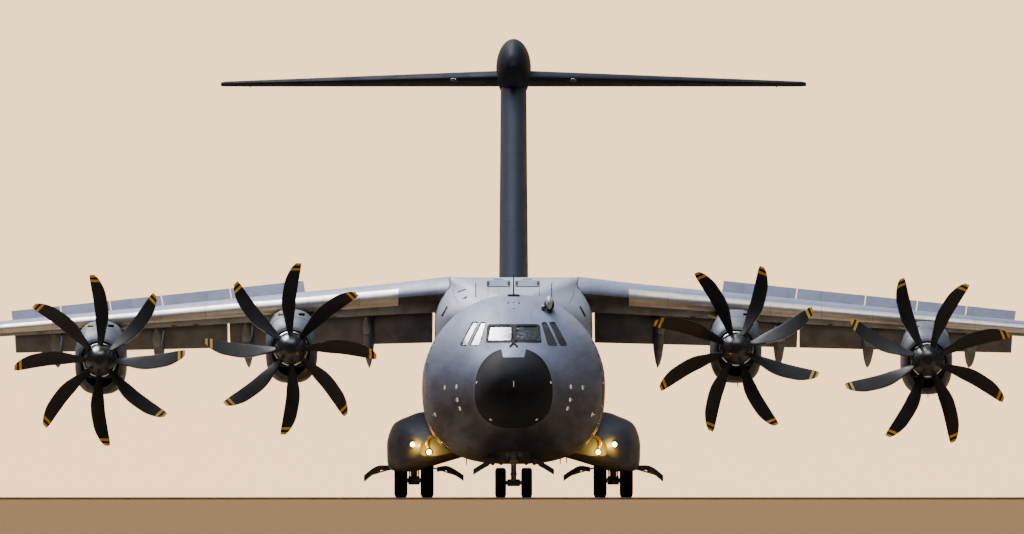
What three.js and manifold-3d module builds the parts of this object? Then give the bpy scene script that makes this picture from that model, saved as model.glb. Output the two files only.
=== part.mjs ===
// A four-engined turboprop transport aircraft: high wing, T tail, rear loading ramp, standing on its wheels.
// All lengths are millimetres of the full-size aircraft. The exported group is scaled to one half.
// +X is the aircraft's left side, +Y points to the tail and +Z is up from the ground.
import * as THREE from "three";
import { mergeVertices } from "three/addons/utils/BufferGeometryUtils.js";
import Module from "manifold-3d";

const wasm = await Module();
wasm.setup();

// Driving dimensions
const MODEL_SCALE = 1 / 2;
const LENGTH = 45100;
const SEAM = 1; // half of the open joint between two fixed pieces
const CLEAR = 30; // open joint round a moving piece
const PAST = 60; // how far a cutting solid runs past what it cuts
const SIDES = [
  { name: "left", sign: 1 },
  { name: "right", sign: -1 },
];

// Fuselage: outer sections by station, measured back from the nose tip
// half: half width, top and bottom: heights, wide: height of the widest point, square: lower corner exponent
const HULL = [
  { station: 0, half: 60, top: 3310, bottom: 3190, wide: 3250, square: 2 },
  { station: 60, half: 300, top: 3560, bottom: 2960, wide: 3250, square: 2 },
  { station: 250, half: 580, top: 3830, bottom: 2690, wide: 3250, square: 2 },
  { station: 700, half: 860, top: 4150, bottom: 2430, wide: 3230, square: 2.1 },
  { station: 1250, half: 1060, top: 4390, bottom: 2260, wide: 3220, square: 2.2 },
  { station: 1900, half: 1230, top: 4600, bottom: 2120, wide: 3200, square: 2.3 },
  { station: 2500, half: 1560, top: 4780, bottom: 1900, wide: 3220, square: 2.3 },
  { station: 3050, half: 1820, top: 5060, bottom: 1720, wide: 3250, square: 2.3 },
  { station: 3700, half: 2090, top: 5380, bottom: 1530, wide: 3290, square: 2.4 },
  { station: 4500, half: 2360, top: 5700, bottom: 1370, wide: 3340, square: 2.5 },
  { station: 5400, half: 2570, top: 5960, bottom: 1240, wide: 3390, square: 2.6 },
  { station: 6500, half: 2730, top: 6140, bottom: 1140, wide: 3430, square: 2.6 },
  { station: 8200, half: 2820, top: 6270, bottom: 1060, wide: 3450, square: 2.7 },
  { station: 25500, half: 2820, top: 6270, bottom: 1060, wide: 3450, square: 2.7 },
  { station: 28000, half: 2760, top: 6270, bottom: 1560, wide: 3650, square: 2.6 },
  { station: 31000, half: 2520, top: 6270, bottom: 2440, wide: 4080, square: 2.4 },
  { station: 34000, half: 2060, top: 6230, bottom: 3400, wide: 4650, square: 2.2 },
  { station: 37000, half: 1380, top: 6120, bottom: 4370, wide: 5180, square: 2 },
  { station: 39300, half: 720, top: 5960, bottom: 5020, wide: 5460, square: 2 },
  { station: 40600, half: 240, top: 5760, bottom: 5360, wide: 5560, square: 2 },
];
const HULL_SIDES = 32;
const WALL = 110;
const AFT_WALL = 80;
const TAILCONE_SOLID = 900; // the end of the tail cone that has no hollow
const JOINTS_AT = { radome: 1900, nose: 6300, forward: 12500, centre: 25650, aft: 37200 };

// Cockpit
const DECK = { top: 3780, thick: 60, from: 2950, to: 6150, half: 2900, ceiling: 6400 };
const GLASS_THICK = 30;
const WINDSCREEN_CUT = { from: 1700, to: 5700 };
// Window corners seen from the front: x, z on the left side
const WINDOW_BAND = [
  [900, 4740], [1000, 4610], [1700, 4610], [1720, 4700], [1310, 5440], [800, 5440], [780, 5350],
];
const WINDOWS = [
  { corners: [[55, 4800], [830, 4800], [800, 5290], [55, 5290]] },
  { corners: [[1050, 4670], [1340, 4660], [1000, 5380], [850, 5370]] },
  { corners: [[1430, 4660], [1640, 4670], [1260, 5390], [1080, 5385]] },
];

// Instrument panel seen from the side: station, z
const PANEL = [[3350, 3760], [3700, 3760], [3560, 4150], [3780, 4330], [3560, 4600], [3380, 4560]];
const PANEL_HALF = 900;
// Pilot seats: side position and widths, then stations and heights of base, pan and back
const SEAT = {
  x: 560, baseHalf: 120, panHalf: 260, backHalf: 250,
  base: [4450, 4800, 4160], pan: [4320, 4850, 4150, 4290],
  back: [[4760, 4200], [4900, 4200], [5040, 5010], [4920, 5010]],
};
// Sensor pod beside the windscreen and its round eye: centre as x, station, z, and half sizes
const SENSOR_POD = { centre: [1090, 5560, 5960], half: [145, 640, 240] };
const SENSOR_EYE = { centre: [930, 5230, 5830], half: [85, 85, 85] };
// Blade aerials on the crown and the belly: root and tip heights, chord at the root
const AERIALS = [
  { x: 0, station: 7100, root: 6180, tip: 6880, chord: 340, thick: 50 },
  { x: -1450, station: 8600, root: 1300, tip: 1000, chord: 330, thick: 45 },
  { x: 1440, station: 9300, root: 1300, tip: 1040, chord: 300, thick: 45 },
  { x: 1630, station: 7700, root: 1420, tip: 1060, chord: 260, thick: 45 },
];
const AERIAL_BASE = { half: 190, from: 7020, to: 7640, low: 6160, high: 6262 };

// Hold
const FLOOR = { top: 1850, thick: 120, from: 8300, to: 25600, half: 2600 };

// Ramp and upper cargo door
const RAMP = { from: 25850, to: 31150, half: 1950 };
// Depth of the ramp seen from the side: station, z
const RAMP_SLAB = [[RAMP.from, 700], [RAMP.to, 1700], [RAMP.to, 2870], [RAMP.from, FLOOR.top]];
const CARGO_DOOR = { from: 31250, to: 36700, halfFront: 1800, halfRear: 980, ceiling: 5050 };
const CREW_DOOR = { from: 6800, to: 7650, low: 1900, high: 3900 };

// Wing: root values on the centre line, tip values at the tip
const WING = {
  semispan: 21200,
  edge: { root: 13600, tip: 20530 },
  chord: { root: 7800, tip: 2800 },
  height: { root: 6495, tip: 4863 },
  fall: { root: 415, tip: -30 }, // drop of the trailing edge below the leading edge
  half: { root: 570, tip: 150 },
};
// Swelling of the wing where it meets the body: span limits, share of the thickness, reach ahead of the edge
const ROOT = { from: 2440, to: 4400, swell: 0.06, ahead: 400 };
// Sections of the wing: span, size share and the chord share that it shrinks towards
const WING_SECTIONS = [
  ...[1950, 2440, 2750, 3150, 3700, 4400, 20900].map((span) => ({ span, size: 1, shift: 0 })),
  { span: 21100, size: 0.88, shift: 0.8 },
  { span: WING.semispan, size: 0.6, shift: 0.9 },
];
const WING_CAMBER = 0.18;
const AEROFOIL_STEPS = [0, 0.012, 0.05, 0.12, 0.25, 0.42, 0.6, 0.8, 1];
const REAR_SPAR = 0.64;
const SHROUD_END = 0.8;
const SHROUD_DEPTH = 0.14;

// Control surfaces on the wing: span limits
const FLAPS = [
  { name: "inboard", from: 2620, to: 8960, arms: [4594, 8375], inboard: 200 },
  { name: "outboard", from: 9040, to: 15700, arms: [11170, 14370], inboard: 25 },
];
const FLAP = { nose: 0.715, start: 0.73, hingeAt: 0.73, hingeDrop: 640, down: 30 };
const ARM = { half: 175, depth: 620 };
// Flap arm fairings: place on the chord, share of the width and of the depth, lift of the upper edge
const ARM_FIXED = [
  [0.4, 0.15, 0.06, 60], [0.5, 0.75, 0.42, 60], [0.6, 1, 0.72, 60], [0.65, 1, 0.86, 60], [0.73, 1, 1, -40],
];
const ARM_MOVING = [
  [0.73, 1, 1, 10], [0.85, 1, 0.93, 10], [1, 0.86, 0.68, 10], [1.11, 0.52, 0.4, 10], [1.19, 0.08, 0.1, 10],
];
// Section of an arm fairing: shares of the half width and of the depth
const ARM_SECTION = [
  [-0.8, 0], [-1, 0.45], [-0.85, 0.82], [-0.42, 0.97], [0, 1], [0.42, 0.97], [0.85, 0.82], [1, 0.45], [0.8, 0],
];
const SPOILER_SPANS = [6460, 8790, 10950, 12580, 14130, 15700];
const SPOILER = { hingeAt: 0.655, thick: 0.1, up: 58, rod: 28, gap: 15 };
const AILERON = { from: 15800, to: 20600, hingeAt: 0.76, nose: 0.026, ahead: 0.008 };

// Fairing over the wing box on the fuselage crown
// half: half width, shoulder: half width of the flat top, top: height
const FAIRING = [
  { station: 10900, half: 1500, shoulder: 300, top: 6230 },
  { station: 11900, half: 2150, shoulder: 900, top: 6450 },
  { station: 13200, half: 2400, shoulder: 1500, top: 6695 },
  { station: 14600, half: 2450, shoulder: 1850, top: 6832 },
  { station: 16000, half: 2450, shoulder: 2300, top: 6862 },
  { station: 19500, half: 2450, shoulder: 2300, top: 6862 },
  { station: 22500, half: 2400, shoulder: 1600, top: 6660 },
  { station: 25200, half: 1900, shoulder: 500, top: 6260 },
];
const FAIRING_FOOT = 4900;
const FAIRING_SIDE = 5450; // the corner starts here
// Corner of the fairing: share of the way in from the side to the shoulder, share of the height
const FAIRING_CORNER = [[0, 0], [0.08, 0.3], [0.3, 0.58], [0.62, 0.82], [0.9, 0.985]];

// Engines
// x: side position, z: hub height, station: propeller plane, stretch: share of the nacelle length,
// turn: hand of the blades, start: turn of the first blade from upright
const ENGINES = [
  { name: "left_outboard", x: 12850, z: 4270, station: 14300, stretch: 0.85, turn: 1, start: 22.5 },
  { name: "left_inboard", x: 6900, z: 4615, station: 12350, stretch: 0.97, turn: -1, start: 22.5 },
  { name: "right_inboard", x: -6900, z: 4615, station: 12350, stretch: 0.97, turn: 1, start: 0 },
  { name: "right_outboard", x: -12850, z: 4270, station: 14300, stretch: 0.85, turn: -1, start: 0 },
];
// Nacelle sections behind the propeller plane: half width, top and bottom from the hub
// square: how full the corners are
const NACELLE = [
  { back: 245, half: 600, up: 600, down: 880, square: 2.1 },
  { back: 310, half: 665, up: 690, down: 950, square: 2.2 },
  { back: 550, half: 730, up: 830, down: 1010, square: 2.4 },
  { back: 1150, half: 790, up: 1010, down: 1055, square: 2.6 },
  { back: 2200, half: 800, up: 1170, down: 1050, square: 2.8 },
  { back: 3600, half: 800, up: 1250, down: 1000, square: 2.8 },
  { back: 5200, half: 740, up: 1250, down: 820, square: 2.6 },
  { back: 6600, half: 560, up: 1150, down: 380, square: 2.2 },
  { back: 7600, half: 260, up: 950, down: -350, square: 2 },
];
const NACELLE_SIDES = 20;
const INTAKE = { half: 430, low: 850, high: 560, depth: 700 };
const EXHAUST = { radius: 250, wall: 40, length: 1500, back: 4800, z: -330, depth: 900, drop: 60 };
const NACELLE_JOINT = { thicker: 0.016, longer: 3 }; // the seat of the wing in the nacelle
// Cooling slots in the top of each cowl: side offset, half width, lower edge over the hub, height, then the
// stations behind the propeller
const COWL_SLOT = { x: 320, half: 95, z: 1042, high: 66, from: 1250, to: 2450 };
const PROP = { blades: 8, hub: 470, back: 120 };
// Spinner outline: radius, distance ahead of the propeller plane
const SPINNER = [[0, 620], [150, 595], [255, 520], [340, 390], [430, 190], [470, 0]];
// Blade sections: radius, chord, thickness, pitch in degrees, sweep behind the radial line
const BLADE = [
  { r: 380, chord: 260, thick: 150, pitch: 62, sweep: 0 },
  { r: 720, chord: 400, thick: 90, pitch: 55, sweep: -40 },
  { r: 1350, chord: 580, thick: 55, pitch: 43, sweep: -70 },
  { r: 2050, chord: 530, thick: 32, pitch: 36, sweep: 20 },
  { r: 2520, chord: 340, thick: 18, pitch: 31, sweep: 170 },
  { r: 2655, chord: 180, thick: 12, pitch: 30, sweep: 240 },
];
// Section of a blade: shares of its chord and of its thickness
const BLADE_SECTION = [[-0.5, 0.04], [-0.15, 0.5], [0.25, 0.38], [0.5, 0], [0.1, -0.3], [-0.3, -0.32]];

// Sponsons: half-round bodies on the lower fuselage sides
// outer: distance from the centre line, top, bottom: heights
const SPONSON = [
  { station: 12300, outer: 2900, top: 1900, bottom: 1300 },
  { station: 12700, outer: 3280, top: 2180, bottom: 1080 },
  { station: 13600, outer: 3680, top: 2500, bottom: 900 },
  { station: 15000, outer: 3940, top: 2680, bottom: 820 },
  { station: 22000, outer: 3940, top: 2680, bottom: 820 },
  { station: 24000, outer: 3680, top: 2560, bottom: 950 },
  { station: 25600, outer: 3000, top: 2160, bottom: 1330 },
];
const SPONSON_INNER = 1500;
// Section of a sponson: share of the width out from the inner edge, share of the height up from the bottom
const SPONSON_SHAPE = [
  [0, 0.26], [0.36, 0.12], [0.6, 0.02], [0.78, 0], [0.934, 0.02], [0.988, 0.12], [1, 0.38], [0.996, 0.5],
  [0.96, 0.68], [0.89, 0.82], [0.73, 0.92], [0.52, 1], [0, 1],
];
// Landing lamps in the sponson's front: x, z and the station of the lens
const LAMPS = [{ x: 3124, z: 1656, station: 12480 }, { x: 2622, z: 1418, station: 12250 }];
const LAMP = { radius: 85, depth: 380 };
// Lip of the air duct beside the inner lamp: x, station, z of its middle line
const DUCT_LIP = [
  [2380, 12400, 1930], [2540, 12335, 1905], [2655, 12295, 1810], [2690, 12285, 1680], [2665, 12300, 1550],
];
const DUCT_LIP_RADIUS = 42;
const BAY = { from: 16150, to: 21250, inner: 2430, outer: 3820, low: 300, top: 2050 };

// Main landing gear
const WHEEL_SIDES = 16;
const BORE_GAP = 16; // between an axle and the bore it turns in
const MAIN = {
  x: 3110, track: 410, radius: 545, width: 400, stations: [17150, 18700, 20250],
  axle: 70, sleeve: 65, leg: 120,
  carrierHalf: 130, carrierDepth: 160, carrierEnd: 100, kneeAhead: 420, kneeHeight: 900,
};
// Gear doors: section points x, z seen from the front on the left side
const MAIN_DOORS = [
  { name: "outer", line: [[3850, 1010], [4180, 1010], [4420, 900], [4660, 700]] },
  { name: "inner", line: [[2390, 960], [2080, 1000], [1830, 890], [1560, 710]] },
];
const DOOR_THICK = 150;

// Nose landing gear
const NOSE = {
  station: 5080, track: 400, radius: 465, width: 340,
  axle: 60, sleeve: 50, strut: 85, split: 1080, pad: 120, brace: 55,
};
// Lamps on the nose leg and the bar that carries them
const NOSE_LAMP = { x: 205, ahead: 175, z: 1330, radius: 80, depth: 90, bar: 30 };
// Upper and lower torque link seen from the side: distance behind the leg's axis, z
const TORQUE_LINKS = [
  [[-330, 760], [-250, 760], [0, 1010], [-60, 1040]],
  [[-330, 760], [-250, 780], [0, 520], [-70, 470]],
];
const TORQUE_LINK_HALF = 45;
const NOSE_BAY = { from: 4250, to: 6050, half: 520, low: 450, top: 2300, skin: 40 };
const NOSE_DOOR = [[560, 1250], [900, 1090], [1240, 880]];

// T tail
const FIN = {
  root: { z: 5900, edge: 31600, chord: 8300, half: 470 },
  top: { z: 13150, edge: 37900, chord: 5500, half: 410 },
};
const FIN_FOOT = { height: 700, wide: 1.35 }; // the fin's foot spreads by this share
const RUDDER = { from: 6450, to: 12530, hingeAt: 0.68, nose: 0.035, below: 110, above: 160, ahead: 0.016 };
const TAIL = {
  semispan: 9450,
  edge: { root: 39100, tip: 43150 },
  chord: { root: 4700, tip: 1950 },
  height: { root: 13480, tip: 13350 },
  half: { root: 260, tip: 80 },
  cap: 250,
  capSize: 0.62,
};
const ELEVATOR = { from: 900, to: 9100, hingeAt: 0.7, nose: 0.032, ahead: 0.012 };
// Bullet at the joint of fin and tailplane: radius and height of its axis by station
const BULLET = [
  { station: 37300, half: 60, up: 60, down: 60, z: 13800 },
  { station: 37600, half: 260, up: 400, down: 420, z: 13800 },
  { station: 38500, half: 470, up: 780, down: 880, z: 13800 },
  { station: 39900, half: 560, up: 940, down: 1100, z: 13800 },
  { station: 42300, half: 520, up: 840, down: 1000, z: 13800 },
  { station: 44000, half: 320, up: 480, down: 640, z: 13780 },
  { station: 45000, half: 60, up: 100, down: 160, z: 13700 },
];

const BULLET_JOINT = 4; // the seat of fin and tailplane in the bullet

// Colours and finishes
const FINISH = {
  skin: { color: 0x7f8b99, roughness: 0.55, metalness: 0.1 },
  under: { color: 0x6b7684, roughness: 0.55, metalness: 0.1 },
  radome: { color: 0x15171b, roughness: 0.4, metalness: 0 },
  glass: { color: 0x6f7f86, roughness: 0.05, metalness: 0 },
  blade: { color: 0x17181a, roughness: 0.45, metalness: 0.1 },
  steel: { color: 0xb9bcbf, roughness: 0.3, metalness: 0.9 },
  gear: { color: 0x8d9499, roughness: 0.5, metalness: 0.3 },
  tyre: { color: 0x1b1b1c, roughness: 0.85, metalness: 0 },
  deck: { color: 0x5c6166, roughness: 0.7, metalness: 0.2 },
  seat: { color: 0x3a4046, roughness: 0.9, metalness: 0 },
};
const materials = Object.fromEntries(
  Object.entries(FINISH).map(([name, look]) => [name, new THREE.MeshStandardMaterial(look)]),
);

// Small helpers
const lerp = THREE.MathUtils.lerp;
const radians = THREE.MathUtils.degToRad;
const along = (station) => station - LENGTH / 2;

function solidOf(geometry) {
  const bare = geometry.clone();
  bare.deleteAttribute("normal");
  bare.deleteAttribute("uv");
  const merged = mergeVertices(bare, 1e-3);
  const vertProperties = new Float32Array(merged.attributes.position.array);
  const triVerts = new Uint32Array(merged.index.array);
  const made = new wasm.Manifold(new wasm.Mesh({ numProp: 3, vertProperties, triVerts }));
  if (made.volume() >= 0) return made;
  for (let i = 0; i < triVerts.length; i += 3) {
    [triVerts[i + 1], triVerts[i + 2]] = [triVerts[i + 2], triVerts[i + 1]];
  }
  return new wasm.Manifold(new wasm.Mesh({ numProp: 3, vertProperties, triVerts }));
}

function geometryOf(solid) {
  const mesh = solid.getMesh();
  const geometry = new THREE.BufferGeometry();
  geometry.setAttribute("position", new THREE.BufferAttribute(new Float32Array(mesh.vertProperties), 3));
  geometry.setIndex(new THREE.BufferAttribute(new Uint32Array(mesh.triVerts), 1));
  geometry.computeVertexNormals();
  return geometry;
}

// A closed solid through rings of points [x, y, z]. caps: triangles of ring indices, or none for a fan.
function loft(rings, caps) {
  const count = rings[0].length;
  const positions = rings.flat(2);
  const index = [];
  for (let r = 0; r + 1 < rings.length; r++) {
    for (let i = 0; i < count; i++) {
      const a = r * count + i;
      const b = r * count + ((i + 1) % count);
      index.push(a, b, b + count, a, b + count, a + count);
    }
  }
  const last = (rings.length - 1) * count;
  if (caps) {
    for (const [a, b, c] of caps) index.push(a, c, b, last + a, last + b, last + c);
  } else {
    const middle = (ring) => [0, 1, 2].map((k) => ring.reduce((sum, point) => sum + point[k], 0) / count);
    const hub = positions.length / 3;
    positions.push(...middle(rings[0]), ...middle(rings.at(-1)));
    for (let i = 0; i < count; i++) {
      const next = (i + 1) % count;
      index.push(hub, next, i, hub + 1, last + i, last + next);
    }
  }
  const geometry = new THREE.BufferGeometry();
  geometry.setAttribute("position", new THREE.Float32BufferAttribute(positions, 3));
  geometry.setIndex(index);
  return solidOf(geometry);
}

// One flat outline of [a, b] pairs carried through stations by place(station, a, b).
function sweep(outline, stations, place) {
  const contour = outline.map(([a, b]) => new THREE.Vector2(a, b));
  if (THREE.ShapeUtils.isClockWise(contour)) {
    contour.reverse();
  }
  const caps = THREE.ShapeUtils.triangulateShape(contour, []);
  return loft(stations.map((station) => contour.map((p) => place(station, p.x, p.y))), caps);
}

function box(x0, x1, s0, s1, z0, z1) {
  const geometry = new THREE.BoxGeometry(Math.abs(x1 - x0), s1 - s0, z1 - z0);
  geometry.translate((x0 + x1) / 2, along((s0 + s1) / 2), (z0 + z1) / 2);
  return solidOf(geometry);
}

// A round bar between two points
function bar(start, end, radius, sides = 12, endRadius = radius) {
  const a = new THREE.Vector3(...start);
  const b = new THREE.Vector3(...end);
  const direction = b.clone().sub(a);
  const geometry = new THREE.CylinderGeometry(endRadius, radius, direction.length(), sides);
  const upright = new THREE.Vector3(0, 1, 0);
  geometry.applyQuaternion(new THREE.Quaternion().setFromUnitVectors(upright, direction.normalize()));
  geometry.translate((a.x + b.x) / 2, (a.y + b.y) / 2, (a.z + b.z) / 2);
  return solidOf(geometry);
}

function ellipsoid({ centre: [x, station, z], half }) {
  const geometry = new THREE.SphereGeometry(1, 12, 8);
  geometry.scale(...half);
  geometry.translate(x, along(station), z);
  return solidOf(geometry);
}

const join = (solids) => solids.reduce((all, next) => all.add(next));
const cut = (solid, ...tools) => tools.reduce((left, tool) => left.subtract(tool), solid);
const mirror = (points, sign) => points.map(([x, z]) => [sign * x, z]);

// A solid turned about an axis through a point, by degrees
function turned(solid, point, axis, degrees) {
  const spin = new THREE.Matrix4().makeRotationAxis(new THREE.Vector3(...axis).normalize(), radians(degrees));
  const there = new THREE.Matrix4().makeTranslation(...point);
  const back = new THREE.Matrix4().makeTranslation(...point.map((value) => -value));
  const geometry = geometryOf(solid).applyMatrix4(there.multiply(spin).multiply(back));
  return solidOf(geometry);
}

// An anticlockwise outline with every edge moved inwards by a distance
function shrunk(outline, distance) {
  const edges = outline.map(([x, y], i) => {
    const [nextX, nextY] = outline[(i + 1) % outline.length];
    const length = Math.hypot(nextX - x, nextY - y);
    const normal = [-(nextY - y) / length, (nextX - x) / length];
    return { normal, reach: normal[0] * x + normal[1] * y + distance };
  });
  return edges.map((edge, i) => {
    const before = edges.at(i - 1);
    const [a, b] = before.normal;
    const [c, d] = edge.normal;
    const area = a * d - b * c;
    return [(before.reach * d - b * edge.reach) / area, (a * edge.reach - before.reach * c) / area];
  });
}

const aircraft = new THREE.Group();
aircraft.scale.setScalar(MODEL_SCALE);

function addNode(name, solid, finish) {
  const mesh = new THREE.Mesh(geometryOf(solid), materials[finish]);
  mesh.name = name;
  aircraft.add(mesh);
}

// A column of a table read at any station, smoothly and without overshoot
function readTable(table, key, column, at) {
  const last = table.length - 1;
  const step = (i) => (table[i + 1][column] - table[i][column]) / (table[i + 1][key] - table[i][key]);
  const slope = (i) => {
    if (i === 0) return step(0);
    if (i === last) return step(last - 1);
    const before = step(i - 1);
    const after = step(i);
    return before * after > 0 ? (2 * before * after) / (before + after) : 0;
  };
  let i = 0;
  while (i < last - 1 && at > table[i + 1][key]) i++;
  const width = table[i + 1][key] - table[i][key];
  const t = THREE.MathUtils.clamp((at - table[i][key]) / width, 0, 1);
  const a = table[i][column];
  const b = table[i + 1][column];
  return (
    a * (1 + 2 * t) * (1 - t) ** 2 + b * t * t * (3 - 2 * t) +
    width * t * (1 - t) * (slope(i) * (1 - t) - slope(i + 1) * t)
  );
}

// A ring of round section, squarer than an ellipse below the widest point and, if wished, above it
function ovalRing(sides, y, x, wide, half, up, down, square, squareAbove = 2) {
  const ring = [];
  for (let i = 0; i < sides; i++) {
    const angle = (2 * Math.PI * i) / sides;
    const c = Math.cos(angle);
    const s = Math.sin(angle);
    const power = 2 / (c >= 0 ? squareAbove : square);
    const height = c >= 0 ? up : down;
    ring.push([
      x + half * Math.sign(s) * Math.abs(s) ** power,
      y,
      wide + height * Math.sign(c) * Math.abs(c) ** power,
    ]);
  }
  return ring;
}

function hullRing(station, inset) {
  const read = (column) => readTable(HULL, "station", column, station);
  const wide = read("wide");
  const up = read("top") - wide - inset;
  const down = wide - read("bottom") - inset;
  return ovalRing(HULL_SIDES, along(station), 0, wide, read("half") - inset, up, down, read("square"));
}

const HULL_MARKS = [...HULL.map((row) => row.station), ...Object.values(JOINTS_AT)].sort((a, b) => a - b);
function hullSolid(from, to, inset) {
  const stations = [from, ...HULL_MARKS.filter((at) => at > from + 1 && at < to - 1), to];
  return loft(stations.map((station) => hullRing(station, inset)));
}

function hullShell(from, to, wall) {
  const inner = hullSolid(from - PAST, to + PAST, wall);
  return cut(hullSolid(from + SEAM, to - SEAM, 0), inner);
}

// An outline seen from the front, as a prism from one station to another
function frontPrism(outline, from, to) {
  return sweep(outline, [from, to], (station, x, z) => [x, along(station), z]);
}

// An outline seen from the side, as a prism across the aircraft
function sidePrism(outline, x0, x1) {
  return sweep(outline, [x0, x1], (x, station, z) => [x, along(station), z]);
}

// An outline seen from above, as a prism between two heights
function planPrism(outline, z0, z1) {
  return sweep(outline, [z0, z1], (z, x, station) => [x, along(station), z]);
}

const wholeHull = hullSolid(0, HULL.at(-1).station, -SEAM);

// Nose, windscreen and radome
function bandOutline(shrink) {
  return shrunk([...WINDOW_BAND, ...mirror(WINDOW_BAND, -1).reverse()], shrink);
}

function makeNose() {
  const { from, to } = WINDSCREEN_CUT;
  const bay = box(-NOSE_BAY.half, NOSE_BAY.half, NOSE_BAY.from, NOSE_BAY.to, NOSE_BAY.low, NOSE_BAY.top);
  const { radome, nose } = JOINTS_AT;
  const shell = hullShell(radome, nose, WALL);
  const pods = cut(join([ellipsoid(SENSOR_POD), ellipsoid(SENSOR_EYE)]), hullSolid(radome, nose, WALL / 2));
  const seat = cut(frontPrism(bandOutline(0), from, to), hullSolid(radome, nose, GLASS_THICK + SEAM));
  const pane = (corners, sign) => frontPrism(mirror(corners, sign), from, to);
  const panes = SIDES.flatMap(({ sign }) => WINDOWS.map(({ corners }) => pane(corners, sign)));
  addNode("fuselage_nose", join([cut(shell, seat, bay, ...panes), pods]), "skin");
  addNode("radome", hullSolid(0, radome - SEAM, 0), "radome");

  const band = frontPrism(bandOutline(2 * SEAM), from, to);
  const skin = cut(hullSolid(radome, nose, 0), hullSolid(radome - PAST, nose + PAST, GLASS_THICK));
  addNode("windscreen_glass", skin.intersect(band), "glass");
}

// Fuselage sections behind the nose
function aerial({ x, station, root, tip, chord, thick }) {
  const rake = 0.35 * Math.abs(tip - root);
  const outline = [
    [station, root], [station + chord, root],
    [station + chord * 0.8 + rake, tip], [station + chord * 0.35 + rake, tip],
  ];
  return sidePrism(outline, x - thick / 2, x + thick / 2);
}

function crewDoorSpace(clear) {
  const { from, to, low, high } = CREW_DOOR;
  return box(1500, 3200, from + clear, to - clear, low + clear, high - clear);
}

function makeForward() {
  const { nose, forward } = JOINTS_AT;
  const shell = hullShell(nose, forward, WALL);
  const { half, from, to, low, high } = AERIAL_BASE;
  const aerials = [box(-half, half, from, to, low, high), ...AERIALS.map(aerial)];
  const fixed = cut(join(aerials), hullSolid(nose, forward, WALL / 2));
  addNode("fuselage_forward", join([cut(shell, crewDoorSpace(0)), fixed]), "skin");
  addNode("crew_door", shell.intersect(crewDoorSpace(CLEAR)), "skin");
}

function rampSpace(clear) {
  const { from, to, half } = RAMP;
  const outline = [[from + clear, 500], [to - clear, 500], [to - clear, 3400], [from + clear, 3400]];
  return sidePrism(outline, -half + clear, half - clear);
}

function cargoDoorSpace(clear) {
  const { from, to, halfFront, halfRear, ceiling } = CARGO_DOOR;
  const front = halfFront - clear;
  const rear = halfRear - clear;
  const outline = [[-front, from + clear], [front, from + clear], [rear, to - clear], [-rear, to - clear]];
  return planPrism(outline, 500, ceiling);
}

function makeCentreAndTail() {
  const { forward, centre, aft } = JOINTS_AT;
  addNode("fuselage_centre", hullShell(forward, centre, WALL), "skin");
  const shell = hullShell(centre, aft, AFT_WALL);
  addNode("fuselage_aft", cut(shell, rampSpace(0), cargoDoorSpace(0)), "skin");
  addNode("cargo_door", shell.intersect(cargoDoorSpace(CLEAR)), "under");
  const slab = sidePrism(RAMP_SLAB, -RAMP.half, RAMP.half);
  const ramp = hullSolid(centre, aft, 0).intersect(rampSpace(CLEAR)).intersect(slab);
  addNode("cargo_ramp", ramp, "under");
  const end = HULL.at(-1).station;
  const hollow = hullSolid(aft - PAST, end - TAILCONE_SOLID, AFT_WALL);
  addNode("tailcone", cut(hullSolid(aft + SEAM, end, 0), hollow), "skin");
}

// Hold floor, flight deck and what stands on it
function makeInside() {
  const room = hullSolid(JOINTS_AT.radome, FLOOR.to, WALL + 2 * SEAM);
  const floor = box(-FLOOR.half, FLOOR.half, FLOOR.from, FLOOR.to, FLOOR.top - FLOOR.thick, FLOOR.top);
  addNode("cargo_floor", floor.intersect(room), "deck");
  const under = DECK.top - DECK.thick;
  const deck = box(-DECK.half, DECK.half, DECK.from, DECK.to, under, DECK.top);
  const bulkhead = box(-DECK.half, DECK.half, DECK.to - DECK.thick, DECK.to, under, DECK.ceiling);
  const panel = sidePrism(PANEL, -PANEL_HALF, PANEL_HALF);
  addNode("flight_deck", join([deck, bulkhead, panel]).intersect(room), "deck");
  for (const { name, sign } of SIDES) {
    const x = sign * SEAT.x;
    const [baseFrom, baseTo, baseTop] = SEAT.base;
    const seat = join([
      box(x - SEAT.baseHalf, x + SEAT.baseHalf, baseFrom, baseTo, DECK.top + SEAM, baseTop),
      box(x - SEAT.panHalf, x + SEAT.panHalf, ...SEAT.pan),
      sidePrism(SEAT.back, x - SEAT.backHalf, x + SEAT.backHalf),
    ]);
    addNode(`pilot_seat_${name}`, seat, "seat");
  }
  const { from, to, half, low, top, skin } = NOSE_BAY;
  const liner = cut(
    box(-half - skin, half + skin, from - skin, to + skin, 2 * low, top + skin),
    box(-half, half, from, to, low, top),
  );
  addNode("nose_gear_bay", liner.intersect(room), "under");
}

makeNose();
makeForward();
makeCentreAndTail();
makeInside();

// Wing: u runs along the chord from 0 to 1, h is the height in half thicknesses of the local section
function wingPoint(sign, span, u, h) {
  const t = span / WING.semispan;
  const at = (pair) => lerp(pair.root, pair.tip, t);
  const station = at(WING.edge) + u * at(WING.chord);
  return [sign * span, along(station), at(WING.height) - u * at(WING.fall) + h * at(WING.half)];
}

// The usual thickness law of four-digit aerofoils, with a thin square trailing edge
function halfThickness(u) {
  const law = 0.2969 * Math.sqrt(u) - 0.126 * u - 0.3516 * u ** 2 + 0.2843 * u ** 3 - 0.1015 * u ** 4;
  return 10 * law + 0.01;
}
const camber = (u) => WING_CAMBER * 4 * u * (1 - u);
const upper = (u) => camber(u) + halfThickness(u);
const lower = (u) => camber(u) - 0.9 * halfThickness(u);

const AEROFOIL = [
  ...AEROFOIL_STEPS.toReversed().map((u) => [u, upper(u)]),
  ...AEROFOIL_STEPS.slice(1).map((u) => [u, lower(u)]),
];

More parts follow.
